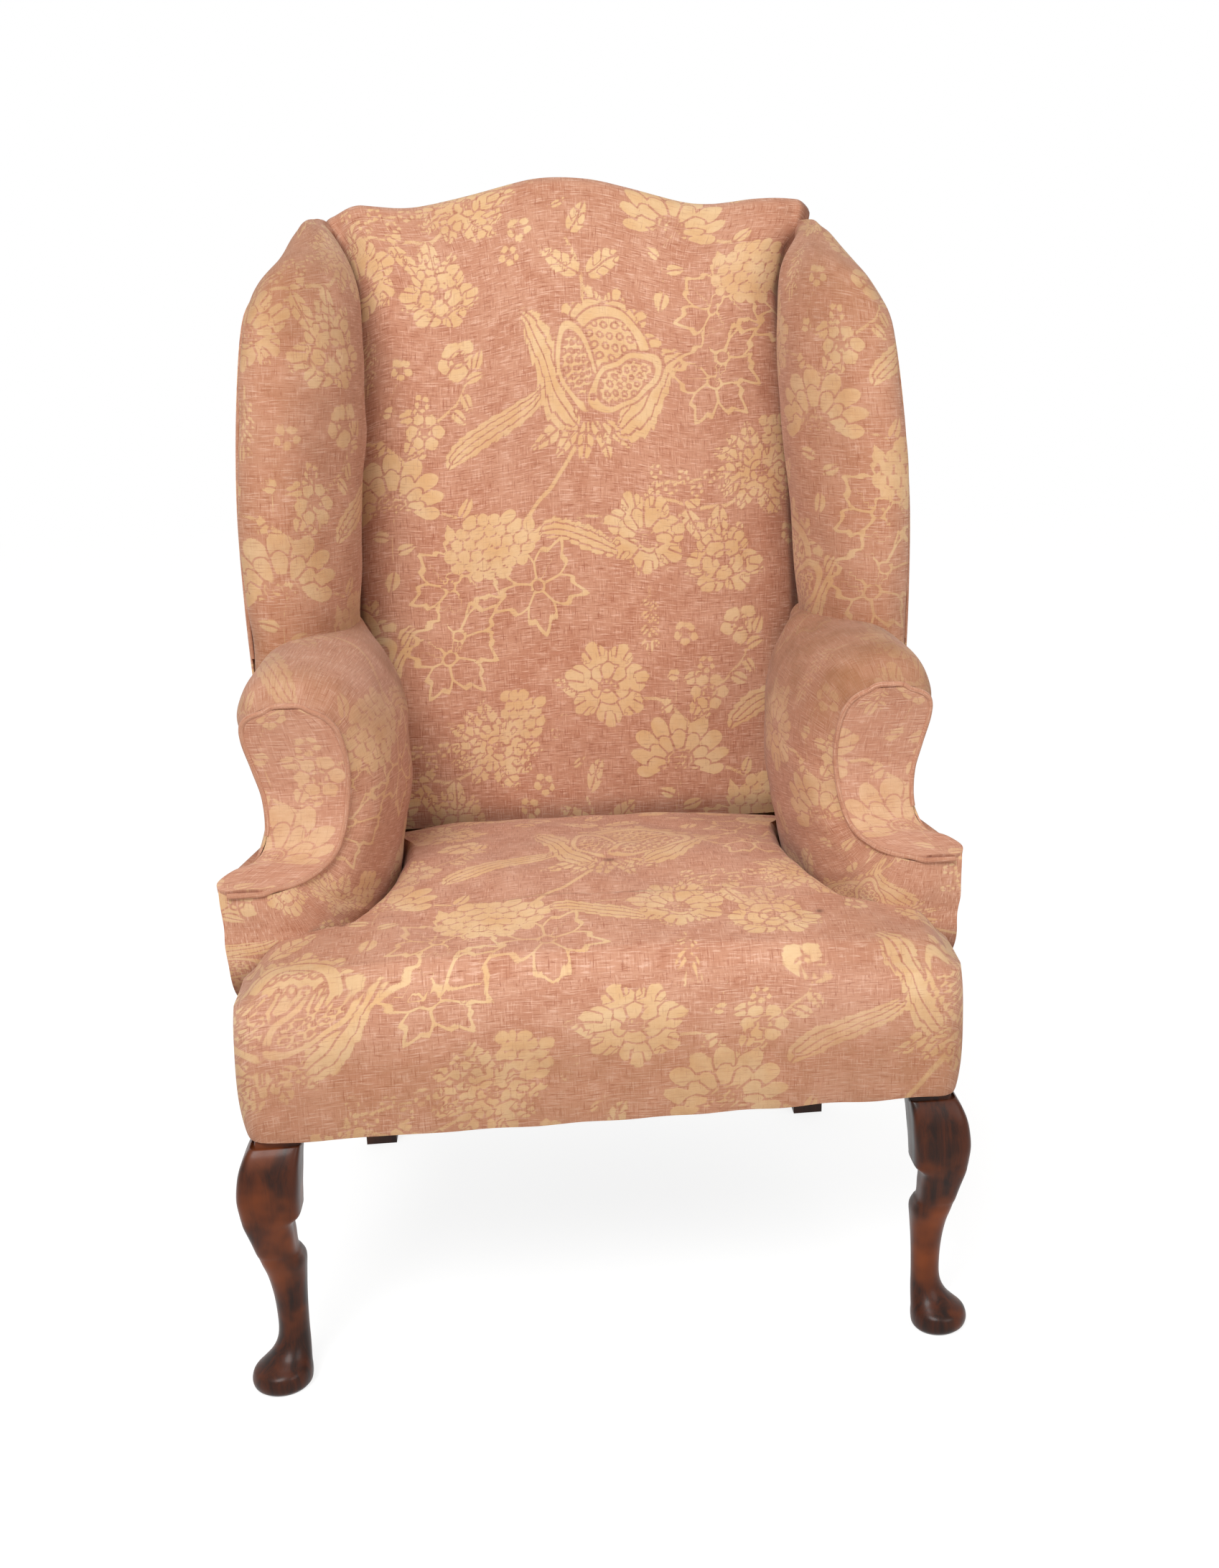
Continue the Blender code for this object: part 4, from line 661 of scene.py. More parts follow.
# %% [markdown]
# ## From grid to cloth
#
# Each cover is one closed mesh: its grid is the side that shows, and its edges run in to a
# point inside the pad, as the real cover's edges are tacked to the rails inside. The drawn
# cloth is then laid on it: a place on the bolt, in mm, for every point of the grid.

# %% Mesh builders
def finish_mesh(name, points, faces, uv, surface):
    """A mesh piece with its cloth coordinates, riding on the chair's one body."""
    mesh = bpy.data.meshes.new(name)
    mesh.from_pydata(points.tolist(), [], faces)
    layer = mesh.uv_layers.new(name="cloth")
    corner = np.zeros(len(mesh.loops), dtype=np.int32)
    mesh.loops.foreach_get("vertex_index", corner)
    layer.data.foreach_set("uv", uv[corner].astype(np.float32).ravel())
    piece = bpy.data.objects.new(name, mesh)
    bpy.context.scene.collection.objects.link(piece)
    mesh.materials.append(surface)
    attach(piece, "root")
    return piece


def tidy_mesh(piece, sharp=50, merge=0.0):
    """Weld doubled points, turn the faces outward, and shade smooth up to an angle."""
    mesh = piece.data
    work = bmesh.new()
    work.from_mesh(mesh)
    if merge:
        bmesh.ops.remove_doubles(work, verts=work.verts, dist=merge)
    bmesh.ops.recalc_face_normals(work, faces=work.faces)
    work.to_mesh(mesh)
    work.free()
    mesh.shade_smooth()
    mesh.set_sharp_from_angle(angle=math.radians(sharp))


def grid_faces(rows, columns, first=0):
    index = np.arange(rows * columns).reshape(rows, columns) + first
    corners = [index[:-1, :-1], index[:-1, 1:], index[1:, 1:], index[1:, :-1]]
    return np.stack(corners, axis=-1).reshape(-1, 4).tolist()


def rim_of(rows, columns):
    index = np.arange(rows * columns).reshape(rows, columns)
    return np.concatenate([index[0], index[1:, -1], index[-1, -2::-1], index[-2:0:-1, 0]]).tolist()


def give(piece, fields):
    """Fields on the mesh's points, as attributes that the shader reads."""
    total = len(piece.data.vertices)
    for label, values in fields.items():
        values = np.asarray(values, np.float32).ravel()
        values = np.concatenate([values, np.full(total - len(values), values[-1], np.float32)])
        piece.data.attributes.new(label, "FLOAT", "POINT").data.foreach_set("value", values)


def cover(name, grid, at, wear_and_shade, inside=None, sheet=0.0, merge=0.0, back=None, ring=False):
    """A cover from its grid: at gives each point's place on the bolt of cloth, in mm.

    The wear and shade fields give its soil, which in places is painted shade, its fade and its
    painted shadow. inside is the point within the pad that the edges run to. A thin sheet has a
    thickness, or its back as a second grid. A ring closes on itself, with one small hole to fill.
    """
    rows, columns = grid.shape[:2]
    points = grid.reshape(-1, 3)
    bolt = at.reshape(-1, 2)
    faces = grid_faces(rows, columns)
    rim = rim_of(rows, columns)
    if sheet:
        normal = normals_of(grid)
        middle = grid[rows // 2, columns // 2] - np.array([0, 0, 0.6])
        faces_in = (normal[rows // 2, columns // 2] * middle).sum() < 0
        back = grid - (-normal if faces_in else normal) * sheet
    if back is not None:
        points = np.concatenate([points, back.reshape(-1, 3)])
        bolt = np.concatenate([bolt, bolt])
        under = rows * columns
        faces += [face[::-1] for face in grid_faces(rows, columns, under)]
        faces += [(a, b, b + under, a + under) for a, b in zip(rim, rim[1:] + rim[:1])]
    else:
        points = np.concatenate([points, np.asarray(inside, float)[None]])
        bolt = np.concatenate([bolt, bolt.mean(axis=0, keepdims=True)])
        last_row = list(range((rows - 1) * columns, rows * columns))
        closed = last_row if ring else rim + rim[:1]
        faces += [(b, a, len(points) - 1) for a, b in zip(closed, closed[1:])]
        if ring:
            faces.append(list(range(columns - 1)))
    piece = finish_mesh(name, points, faces, bolt * MM, figured_cloth)
    u, v = bolt[:, 0], bolt[:, 1]
    px, py = u + 2.2 * wobble(u, v, 34, 3), v + 2.2 * wobble(u, v, 34, 4)
    fields = dict(zip(("figure", "line", "outline", "outline_line"), draw_cloth(px, py)))
    for label in ("soil_and_shade", "fade", "shadow"):
        values = np.broadcast_to(wear_and_shade.get(label, 0.0), grid.shape[:2]).ravel()
        fields[label] = values if back is None else np.concatenate([values, values])
    give(piece, fields)
    tidy_mesh(piece, merge=merge)
    return piece


def cord(name, path, radius, sides=10, soil_and_shade=0.0):
    """A round cord covered in the same cloth, closed at both ends."""
    ahead = np.gradient(path, axis=0)
    ahead /= np.linalg.norm(ahead, axis=1, keepdims=True)
    side = np.cross(ahead[0], [0.3, 0.2, 1.0])
    rings = []
    for point, way in zip(path, ahead):
        side = side - way * (side @ way)
        side /= np.linalg.norm(side)
        up = np.cross(way, side)
        turn = np.linspace(0, 2 * np.pi, sides, endpoint=False)[:, None]
        rings.append(point + (side * np.cos(turn) + up * np.sin(turn)) * radius)
    points = np.concatenate(rings)
    faces = []
    for i in range(len(path) - 1):
        for j in range(sides):
            k = (j + 1) % sides
            faces.append((i * sides + j, (i + 1) * sides + j, (i + 1) * sides + k, i * sides + k))
    faces.append(tuple(range(sides)))
    faces.append(tuple(range(len(points) - 1, len(points) - sides - 1, -1)))
    reach = np.concatenate([[0], np.cumsum(np.linalg.norm(np.diff(path, axis=0), axis=1))])
    round_it = np.tile(np.linspace(0, radius * 6, sides), len(path))
    uv = np.stack([np.repeat(reach, sides), round_it], axis=1)
    piece = finish_mesh(name, points, faces, uv, figured_cloth)
    levels = {"figure": FAR, "line": FAR, "outline": FAR, "outline_line": FAR,
              "soil_and_shade": soil_and_shade, "fade": 0.5, "shadow": 0.0}
    give(piece, {label: np.full(len(points), level) for label, level in levels.items()})
    tidy_mesh(piece)
    return piece


# %% [markdown]
# ## Inside back
#
# The inside back is a hair-stuffed pad: crowned in its middle, rounded beside the wings, and
# rolled over the crest rail to a seam behind. Its cover is one rectangle of cloth with the
# largest flower set near the top middle, as the upholsterer placed it.

# %% Inside back
CREST_LINE = np.array([
    (0, 0), (36, 2), (70, 10), (105, 19), (140, 28),
    (170, 34), (195, 36), (225, 34), (260, 32), (304, 33)])
CREST_ROUND = 0.018
CREST_END_Z = HEIGHT - 0.036
BACK_PAD_BOTTOM = RAIL_TOP + 0.088
BACK_SIDE = np.array([
    (750, 34), (540, 33), (441, 29), (341, 31), (241, 37),
    (170, 42), (100, 43), (50, 28), (20, 6), (0, 0)])


def crest_top(x):
    place = np.abs(x) / MM
    shifted = [np.abs(place + shift) for shift in (-14, -7, 0, 7, 14)]
    drop = sum(np.interp(beside, CREST_LINE[:, 0], CREST_LINE[:, 1]) for beside in shifted) / 5
    end = np.maximum(0.0, np.abs(x) - FRAME_X_BACK + 0.018) / 0.018
    sag = 0.018 * ease((-x - 0.245) / 0.055) - 0.008 * ease((x - 0.14) / 0.10)
    return HEIGHT - drop * MM - 0.014 * end ** 2 - sag


def back_half_width(z):
    below = (CREST_END_Z - z) / MM
    return FRAME_X_BACK - np.interp(below, BACK_SIDE[::-1, 0], BACK_SIDE[::-1, 1]) * MM


def inside_back_grid(columns=190, rows=262, roll_rows=26):
    u = np.linspace(-1, 1, columns)
    edge = np.abs(u)
    straight_top = crest_top(u * FRAME_X_BACK) - CREST_ROUND
    share = np.linspace(0, 1, rows)[:, None]
    z = BACK_PAD_BOTTOM + (straight_top - BACK_PAD_BOTTOM) * share
    crown = 0.014 * (1 - edge ** 4)
    swell = crown * np.sin(np.pi * np.minimum(1.0, 0.12 + share * 0.80)) ** 0.7
    corner = 0.020 * np.maximum(0.0, 1 - (1 - edge) * FRAME_X_BACK / 0.055) ** 2
    y = post_front(z) - 0.033 - swell + corner + 0.022 * (np.maximum(0, share - 0.8) / 0.2) ** 2
    y = np.minimum(y, post_front(z) - 0.006)
    front = np.stack([u * back_half_width(z), y, z], axis=-1)
    turn = np.linspace(0, np.pi, roll_rows)[1:, None]
    reach = (post_front(straight_top) + POST_DEPTH - 0.002 - y[-1]) / 2
    roll_z = straight_top + CREST_ROUND * np.sin(turn) ** 0.8
    roll_y = y[-1] + reach - reach * np.cos(turn)
    return np.concatenate([front, np.stack([u * back_half_width(roll_z), roll_y, roll_z], axis=-1)])


grid = inside_back_grid()
flat = lay_flat(grid)
flat[..., 0] -= flat[..., 0].max() / 2
flat[..., 1] += BACK_PAD_BOTTOM
u, v = flat[..., 0], flat[..., 1]
bumps = wobble(u, v, 0.16, 11) * 0.0022 + wobble(u, v, 0.055, 12) * 0.0005
grid = grid + normals_of(grid) * bumps[..., None]
tuck = np.linspace(0, 1, 7)[1:, None, None]
out = np.array([0.022, 0.012, 0.0])
left = grid[:, :1] + tuck.transpose(1, 0, 2) * (out * [-1, 1, 1])
right = grid[:, -1:] + tuck.transpose(1, 0, 2) * out
keep_narrow = ease((CREST_END_Z - 0.10 - grid[:, 0, 2]) / 0.08)[:, None, None]
left = grid[:, :1] + (left - grid[:, :1]) * keep_narrow
right = grid[:, -1:] + (right - grid[:, -1:]) * keep_narrow
wide = np.concatenate([left[:, ::-1], grid, right], axis=1)
u_side = np.arange(1, 7) * 0.004
u_row = flat[0, :, 0]
u_full = np.concatenate([u_row[0] - u_side[::-1], u_row, u_row[-1] + u_side])
flat = np.stack(np.meshgrid(u_full, flat[:, 0, 1]), axis=-1)
u, v = flat[..., 0], flat[..., 1]
top_soil = ease((v - 1.10) / 0.12) * 0.16
# Painted shadow along the sides, beside the wings, and along the bottom, by the seat.
edge_shadow = ease((np.abs(u) - 0.262) / 0.012) * 0.75 + ease((0.470 - v) / 0.030) * 0.5
streak = 0.30 * ease(wobble(u, v * 0.35, 0.10, 21))
wear_and_shade = {"soil_and_shade": np.clip(top_soil + 0.10 * streak, 0, 1), "fade": 0.10 + 0.5 * streak,
        "shadow": np.clip(edge_shadow, 0, 0.85)}
at = (flat - [0.032, 0.985]) * 1000
inside_back = cover("inside_back_cover", wide, at, wear_and_shade, inside=(0, 0.26, 0.8))
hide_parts("inside_back_pad")
print("inside back:", len(inside_back.data.polygons), "faces")

# %% [markdown]
# ## Wings
#
# A wing is a flat frame padded on its inner side, with the cover drawn round its front edge to
# a welt on the outside. Each rib of the table runs from the back pad, over the swell, round
# the front edge to the welt.

# %% Wings
WING_RIBS = [
    [(101, 449, -48), (109, 398, -48), (116, 341, -48), (109, 271, -48),
     (79, 213, -48), (46, 195, -48), (21, 207, -48), (15, 231, -48)],
    [(101, 458, 32), (112, 404, 32), (123, 346, 32), (114, 276, 32),
     (80, 218, 32), (43, 201, 32), (17, 215, 32), (11, 237, 32)],
    [(101, 469, 132), (116, 414, 132), (129, 356, 132), (117, 286, 132),
     (80, 227, 132), (41, 209, 132), (14, 223, 132), (9, 245, 132)],
    [(109, 479, 232), (124, 427, 232), (136, 371, 232), (122, 306, 232),
     (83, 249, 232), (43, 231, 232), (17, 243, 232), (12, 265, 232)],
    [(114, 489, 322), (127, 440, 322), (138, 389, 322), (124, 329, 322),
     (85, 277, 322), (47, 259, 322), (23, 271, 322), (19, 291, 322)],
    [(113, 499, 372), (119, 455, 382), (129, 411, 390), (114, 359, 395),
     (81, 313, 390), (49, 296, 377), (30, 307, 362), (26, 325, 357)],
    [(99, 507, 414), (102, 476, 427), (104, 446, 434), (94, 406, 432),
     (72, 369, 420), (51, 356, 400), (38, 363, 382), (35, 377, 372)],
    [(98, 510, 430), (95, 494, 445), (89, 476, 454), (80, 453, 452),
     (68, 429, 438), (56, 421, 416), (47, 423, 393), (44, 431, 380)],
    [(100, 524, 430), (97, 518, 446), (92, 512, 456), (84, 504, 454),
     (75, 500, 442), (66, 497, 422), (59, 496, 400), (54, 499, 380)],
]
wing = net(arm_points(WING_RIBS, ARM_HEIGHT), 170, 130)
WING_CUT = {"left": (-30, -250), "right": (-420, -420)}
WELT_RADIUS, PIPING_RADIUS = 0.0022, 0.0030
for side, sign in SIDES:
    flat = lay_flat(wing)
    u, v = flat[..., 0], flat[..., 1]
    bumps = wobble(u, v, 0.10, 31 + sign) * 0.0018 + wobble(u * 3, v, 0.14, 35 + sign) * 0.0008
    grid = mirrored(wing + normals_of(wing) * bumps[..., None], sign)
    top = ease((v - 0.32) / 0.12)
    # Painted shadow where the wing meets the back pad.
    rear_shade = ease((0.035 - u) / 0.03)
    low = ease((0.09 - v) / 0.05)
    # Darker at the top and at the bottom by the arm roll, and evenly over the whole wing: soil and painted
    # shade.
    top_and_bottom_darkening = np.clip(0.22 * top * ease((u - 0.1) / 0.1) + 0.25 * low, 0, 1)
    wear_and_shade = {"soil_and_shade": top_and_bottom_darkening + (0.38 if sign < 0 else 0.34),
            "fade": 0.20 + 0.25 * ease(wobble(u, v, 0.12, 41 + sign)),
            "shadow": np.clip(rear_shade * 0.7, 0, 0.8)}
    at = on_bolt(flat, WING_CUT[side], sign)
    piece = cover("wing_cover_" + side, grid, at, wear_and_shade, inside=(sign * 0.325, 0.13, 0.88))
    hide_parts("wing_pad_" + side)
    edge = wing[6:120, -1] + (wing[6:120, -1] - wing[6:120, -2]) / 0.003 * 0.0026
    welt = cord("wing_cord_" + side, mirrored(even(edge, 150), sign), WELT_RADIUS, soil_and_shade=0.35)
    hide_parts("wing_welt_" + side)
print("wings:", len(piece.data.polygons), "faces each")

# %% [markdown]
# ## Arms
#
# The arm is a roll: the cover starts under the scroll on the outside, goes over the top, down
# the inside, and forward to the lip. The front is closed by a facing, a small padded panel cut
# to the arm's profile, with a piping round its edge.

# %% Arms, facings and piping
ARM_RIBS = [
    [(36, 56, 257), (33, 92, 261), (34, 221, 261), (46, 301, 261), (62, 392, 261)],
    [(27, 43, 300), (19, 87, 305), (21, 221, 309), (34, 301, 309), (55, 392, 308)],
    [(43, 37, 318), (36, 82, 345), (40, 221, 350), (51, 301, 350), (67, 392, 348)],
    [(76, 35, 323), (81, 80, 354), (89, 201, 363), (94, 301, 363), (99, 396, 361)],
    [(109, 40, 310), (127, 82, 337), (139, 201, 345), (137, 301, 348), (121, 398, 345)],
    [(126, 53, 270), (153, 93, 285), (171, 201, 290), (164, 301, 293), (132, 396, 293)],
    [(126, 61, 225), (155, 99, 227), (176, 201, 230), (169, 301, 230), (134, 391, 230)],
    [(117, 55, 185), (147, 91, 175), (169, 201, 160), (166, 301, 155), (133, 386, 155)],
    [(95, 24, 155), (121, 46, 125), (151, 131, 95), (157, 221, 82), (132, 380, 72)],
    [(82, 12, 148), (107, 27, 118), (133, 71, 84), (147, 140, 70), (153, 225, 66)],
    [(67, 2, 143), (81, 3, 115), (104, 16, 78), (117, 32, 62), (127, 60, 58)],
    [(40, 0, 139), (43, -1, 112), (52, -1, 74), (60, 0, 38), (68, 1, 6)],
    [(0, 4, 147), (1, 3, 112), (4, 2, 74), (10, 2, 38), (27, 2, 6)],
]
FACING = np.array([
    (1.0, 141.5, 45, 9), (5, 144, 68, 0), (15, 149, 87, -1), (27, 156, 100, 12), (36, 161, 107, 31),
    (50, 172, 114, 40), (58, 194, 120.5, 44), (61.5, 225, 125, 42), (57, 255, 126.5, 35),
    (47.5, 290, 121, 27.5), (40.5, 310, 109, 32), (36.5, 321, 88, 58)])
arm = net(arm_points(ARM_RIBS), 230, 130)
round_the_lip = np.linspace(0, 1, 9)[1:, None, None] * np.array([-0.0015, 0.021, 0.0])
arm = np.concatenate([arm, arm[-1:] + round_the_lip])
ARM_CUT = {"left": (-190, 40), "right": (120, 560)}
FACING_CUT = {"left": (150, 120), "right": (30, 120)}
inner_line = curve(arm_points(FACING[:, [2, 0, 1]]), 140)
outer_line = curve(arm_points(FACING[:, [3, 0, 1]]), 140)


def facing_grid(columns=44):
    """The facing: a shallow cushion between its inner and outer edge, proud of the arm's front."""
    share = np.linspace(0, 1, columns)
    lines = inner_line[:, None] * (1 - share[:, None]) + outer_line[:, None] * share[:, None]
    along = np.gradient(inner_line + outer_line, axis=0)
    proud = np.stack([along[:, 0] * 0, -along[:, 2], along[:, 1]], axis=1)
    proud /= np.linalg.norm(proud, axis=1, keepdims=True)
    puff = 0.0030 + 0.0032 * np.sin(np.pi * share) ** 0.5
    return lines + proud[:, None] * puff[None, :, None], lines - proud[:, None] * 0.004, proud


for side, sign in SIDES:
    flat = lay_flat(arm)
    u, v = flat[..., 0], flat[..., 1]
    bumps = wobble(u, v, 0.09, 51 + sign) * 0.0015 + wobble(u, v * 2.5, 0.10, 55 + sign) * 0.0008
    hold = ease(u / 0.03)
    grid = mirrored(arm - normals_of(arm) * (bumps * hold)[..., None], sign)
    height = grid[..., 2] - RAIL_TOP
    top = ease((height - 0.235) / 0.09)
    # The top is darkened, the right arm's much more than the left's.
    top_darkening = 0.84 if sign > 0 else 0.34
    soil_and_shade = top_darkening * top * (0.7 + 0.3 * wobble(u, v, 0.08, 61)) * (1 - 0.6 * ease((u - 0.22) / 0.15))
    # An even darkening behind the front, most of all above the lowest 8 cm: soil and painted shade.
    soil_and_shade = soil_and_shade + 0.18 + 0.48 * ease((height - 0.08) / 0.1) * ease((u - 0.12) / 0.08)
    # Painted shadow low on the arm, down by the seat.
    low = ease((0.075 - height) / 0.04) * ease((u - 0.05) / 0.05)
    wear_and_shade = {"soil_and_shade": np.clip(soil_and_shade, 0, 0.8),
            "fade": 0.25 + 0.35 * top + 0.2 * ease(wobble(u, v, 0.1, 63)),
            "shadow": np.clip(low * 0.8, 0, 0.8)}
    at = on_bolt(flat, ARM_CUT[side], -sign, -1)
    piece = cover("arm_cover_" + side, grid, at, wear_and_shade, inside=(sign * 0.315, 0.0, 0.52))
    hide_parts("arm_pad_" + side)

    front, behind, proud = facing_grid()
    flat = lay_flat(front)
    at = on_bolt(flat, FACING_CUT[side], sign)
    scroll = ease((flat[..., 1] - 0.20) / 0.10)
    wear_and_shade = {"soil_and_shade": 0.14 + (0.5 if sign > 0 else 0.25) * scroll, "fade": 0.25 + 0.3 * (1 - scroll)}
    facing = cover("facing_cover_" + side, mirrored(front, sign), at, wear_and_shade, back=mirrored(behind, sign))
    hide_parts("arm_facing_" + side)
    lip_edge = outer_line[0] + (inner_line[0] - outer_line[0]) * np.linspace(0, 1, 12)[:, None]
    top_edge = inner_line[-1] + (outer_line[-1] - inner_line[-1]) * np.linspace(0, 1, 10)[:, None]
    path = np.concatenate([lip_edge[:-1] + [0, -0.0022, -0.0012], inner_line[6:-1] + proud[6:-1] * 0.0024,
                           top_edge + [0, -0.0024, 0.0022], (outer_line + proud * 0.0024)[-2:70:-1]])
    path = even(curve(even(path, 60), 300), 330)
    piping = cord("piping_" + side, mirrored(path, sign), PIPING_RADIUS, soil_and_shade=0.25)
    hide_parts("arm_piping_" + side)
print("arms:", len(piece.data.polygons), "faces each; facings:", len(facing.data.polygons))

# %% [markdown]
# ## Seat
#
# The seat is one sprung pad whose cover runs from under the back, over the dome and down the
# front border. It was made as rings: from a line along the middle out to the outline, then
# down the walls. The springs are tired, so the middle sags and the front edge is a soft roll.

# %% Seat
SEAT_EDGE_HEIGHT, SEAT_CROWN = RAIL_TOP + 0.083, 0.044
SEAT_BACK_Y = POST_FOOT_Y - 0.045
EAR_BACK_Y = LIP_Y - 0.0022
SEAT_SIDE = [(131, 384), (146, 340), (159, 271), (162, 200), (156, 141),
             (140, 82), (125, 42), (109, 15), (85, -2.6)]


def seat_outline(count):
    """The seat from above, starting at the middle of its back."""
    back = SEAT_BACK_Y + 0.012
    half = [(0, back), (0.10, back), (0.20, back)]
    half += [(TIP_X - inward * MM, min(LIP_Y + behind * MM, back)) for inward, behind in SEAT_SIDE]
    ear_x, front, corner = FRAME_X_FRONT + 0.0065, RAIL_FRONT_Y - 0.0075, 0.024
    half += [(ear_x - 0.036, EAR_BACK_Y), (ear_x - 0.008, EAR_BACK_Y), (ear_x, EAR_BACK_Y - 0.008)]
    half += [(ear_x, -0.255), (ear_x, front + corner)]
    for turn in np.radians([22.5, 45, 67.5]):
        half.append((ear_x - corner + corner * math.cos(turn), front + corner - corner * math.sin(turn)))
    half += [(ear_x - corner, front), (0.2, front), (0.1, front), (0.0, front)]
    half = np.array(half)
    line = np.concatenate([half, (half * [-1, 1])[-2:0:-1], half[:1]])
    return even(line, count + 1)[:-1]


def seat_height(x, y):
    along = (y - RAIL_FRONT_Y) / (SEAT_BACK_Y - RAIL_FRONT_Y)
    across = np.abs(x) / FRAME_X_FRONT
    crown = np.sin(np.pi * np.clip(0.04 + 0.80 * along, 0, 1)) ** 0.8
    sag = 0.0035 * wobble(x, y, 0.22, 71) + 0.0012 * wobble(x, y, 0.07, 72)
    return SEAT_EDGE_HEIGHT + SEAT_CROWN * crown * (1 - 0.55 * across ** 3) - 0.010 * across ** 2 + sag


def seat_grid(around=560, top_rows=100, wall_rows=44):
    line = seat_outline(around)
    heart = np.stack([line[:, 0] * 0.55, np.full(around, -0.20)], axis=1)
    border = line[:, 1] < EAR_BACK_Y - 0.004
    rows, drops = [], []
    for share in np.linspace(0.005, 0.955, top_rows):
        flat_place = heart + (line - heart) * share
        fall = 0.016 * max(0.0, (share - 0.8) / 0.155) ** 2
        z = seat_height(flat_place[:, 0], flat_place[:, 1]) - fall
        rows.append(np.stack([flat_place[:, 0], flat_place[:, 1], z], axis=1))
        drops.append(np.zeros(around))
    edge = rows[-1]
    hem = RAIL_BOTTOM - 0.002 + 0.0015 * wobble(line[:, 0], line[:, 1], 0.11, 73)
    low = np.where(border, hem, RAIL_TOP + 0.062)
    outward = np.roll(line, -1, axis=0) - np.roll(line, 1, axis=0)
    outward = np.stack([-outward[:, 1], outward[:, 0]], axis=1)
    outward /= np.linalg.norm(outward, axis=1, keepdims=True)
    outward *= np.sign((outward * (line - np.array([0, -0.05]))).sum(axis=1))[:, None]
    start = edge[:, 2] - 0.010
    for depth in np.linspace(0.0, 1.0, wall_rows):
        swell = 0.0085 * math.sin(math.pi * min(1.0, depth * 0.85 + 0.15)) ** 0.7 * border
        slack = 0.0015 * wobble(line[:, 0] * 2, np.full(around, depth * 0.15), 0.11, 74)
        swell = swell + slack * border * math.sin(math.pi * depth)
        z = start + (low - start) * depth
        rows.append(np.concatenate([line + outward * swell[:, None], z[:, None]], axis=1))
        drops.append((edge[:, 2] - z) + 0.006)
    rows.append(np.concatenate([heart + (line - heart) * 0.94, (low + 0.002)[:, None]], axis=1))
    drops.append(drops[-1] + 0.01)
    return np.stack(rows), np.stack(drops)


grid, drops = seat_grid()
grid = np.concatenate([grid, grid[:, :1]], axis=1)
drops = np.concatenate([drops, drops[:, :1]], axis=1)
bolt_x = grid[..., 0] * 1000 - 26
bolt_y = ((grid[..., 1] - RAIL_FRONT_Y) * 1000 - 259 - drops * 1000) / 0.86
x, y = grid[..., 0], grid[..., 1]
# Painted shadow: at the back, under the inside back; at the sides and in the back corners, by the arms and
# wings; and a few small dark spots.
rear_shade = ease((y - SEAT_BACK_Y + 0.028) / 0.03)
side_dark = ease((np.abs(x) - 0.150) / 0.07) * ease((y + 0.18) / 0.1) * 0.30
corner_shade = np.exp(-((np.abs(x) - 0.215) / 0.020) ** 2 - ((y - 0.145) / 0.020) ** 2)
fleck = np.exp(-((x - 0.012) / 0.006) ** 2 - ((y + 0.115) / 0.003) ** 2)
spots = sum(np.exp(-((x - a) / 0.0035) ** 2 - ((y - b) / 0.0035) ** 2)
            for a, b in ((-0.262, -0.212), (0.222, -0.243)))
# Soil in patches, and painted shade down the front border as it drops from the edge; the top also darkens
# towards its sides.
soil_and_shade = 0.16 * ease(wobble(x, y, 0.2, 75)) + 0.50 * ease((drops - 0.02) / 0.08)
soil_and_shade = soil_and_shade + 0.25 * ease((np.abs(x) - 0.17) / 0.1) * (drops < 0.01)
fade = 0.15 + 0.30 * ease(wobble(x, y, 0.13, 76)) + 0.05 * ease(drops / 0.06)
shadow = rear_shade * 0.7 + side_dark * 0.5 + corner_shade * 0.6 + fleck * 0.8 + spots * 0.8
wear_and_shade = {"soil_and_shade": np.clip(soil_and_shade, 0, 0.6), "fade": np.clip(fade, 0, 1), "shadow": np.clip(shadow, 0, 0.85)}
at = np.stack([bolt_x, bolt_y], axis=-1)
seat = cover("seat_cover", grid, at, wear_and_shade, inside=(0, -0.06, 0.39), merge=0.000001, ring=True)
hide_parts("seat_pad")
print("seat:", len(seat.data.polygons), "faces")

# %% [markdown]
# ## Outside covers
#
# The outsides are flat sheets of the same cloth, stretched over the frame and tacked behind
# the legs. They carry no stuffing, so they are thin sheets rather than pads.

# %% Outside covers
ARM_END_Y = LIP_Y + 0.398


def outside_arm_rows():
    snug, far_y, back_y = 0.0007, LIP_Y + 0.31, POST_FOOT_Y + POST_DEPTH
    rows = []
    for above in (-79, -40, -1):
        z = RAIL_TOP + above * MM
        line = [(frame_half_width(y) + snug, y, z)
                for y in (EAR_BACK_Y + 0.0035, LIP_Y + 0.09, LIP_Y + 0.20, far_y, POST_FOOT_Y)]
        rows.append(line + [(FRAME_X_BACK + snug, back_y, z)])
    drawn = (
        (4, (31, 21), (43, 90), (54, 200)), (22, (19, 21), (38, 90), (49, 200)),
        (45, (9, 21), (33, 90), (45, 200)), (100, (6, 21), (27, 90), (38, 200)),
        (140, (4, 22), (29, 90), (36, 200)), (164, (34, 46), (34, 90), (37, 200)),
        (200, (45, 66), (40, 100), (38, 200)), (257, (38, 68), (36, 100), (37, 200)))
    for above, *places in drawn:
        z = RAIL_TOP + above * MM
        row = [tuple(arm_points((inward, behind, above))) for inward, behind in places]
        row += [(frame_half_width(far_y) + 0.004, far_y, z), (FRAME_X_BACK + snug * 3, POST_FOOT_Y, z)]
        rows.append(row + [(FRAME_X_BACK + snug, post_front(z) + POST_DEPTH, z)])
    grid = net(rows, 90, 110)
    grid[..., 0] = np.maximum(grid[..., 0], FRAME_X_BACK + snug)
    return grid


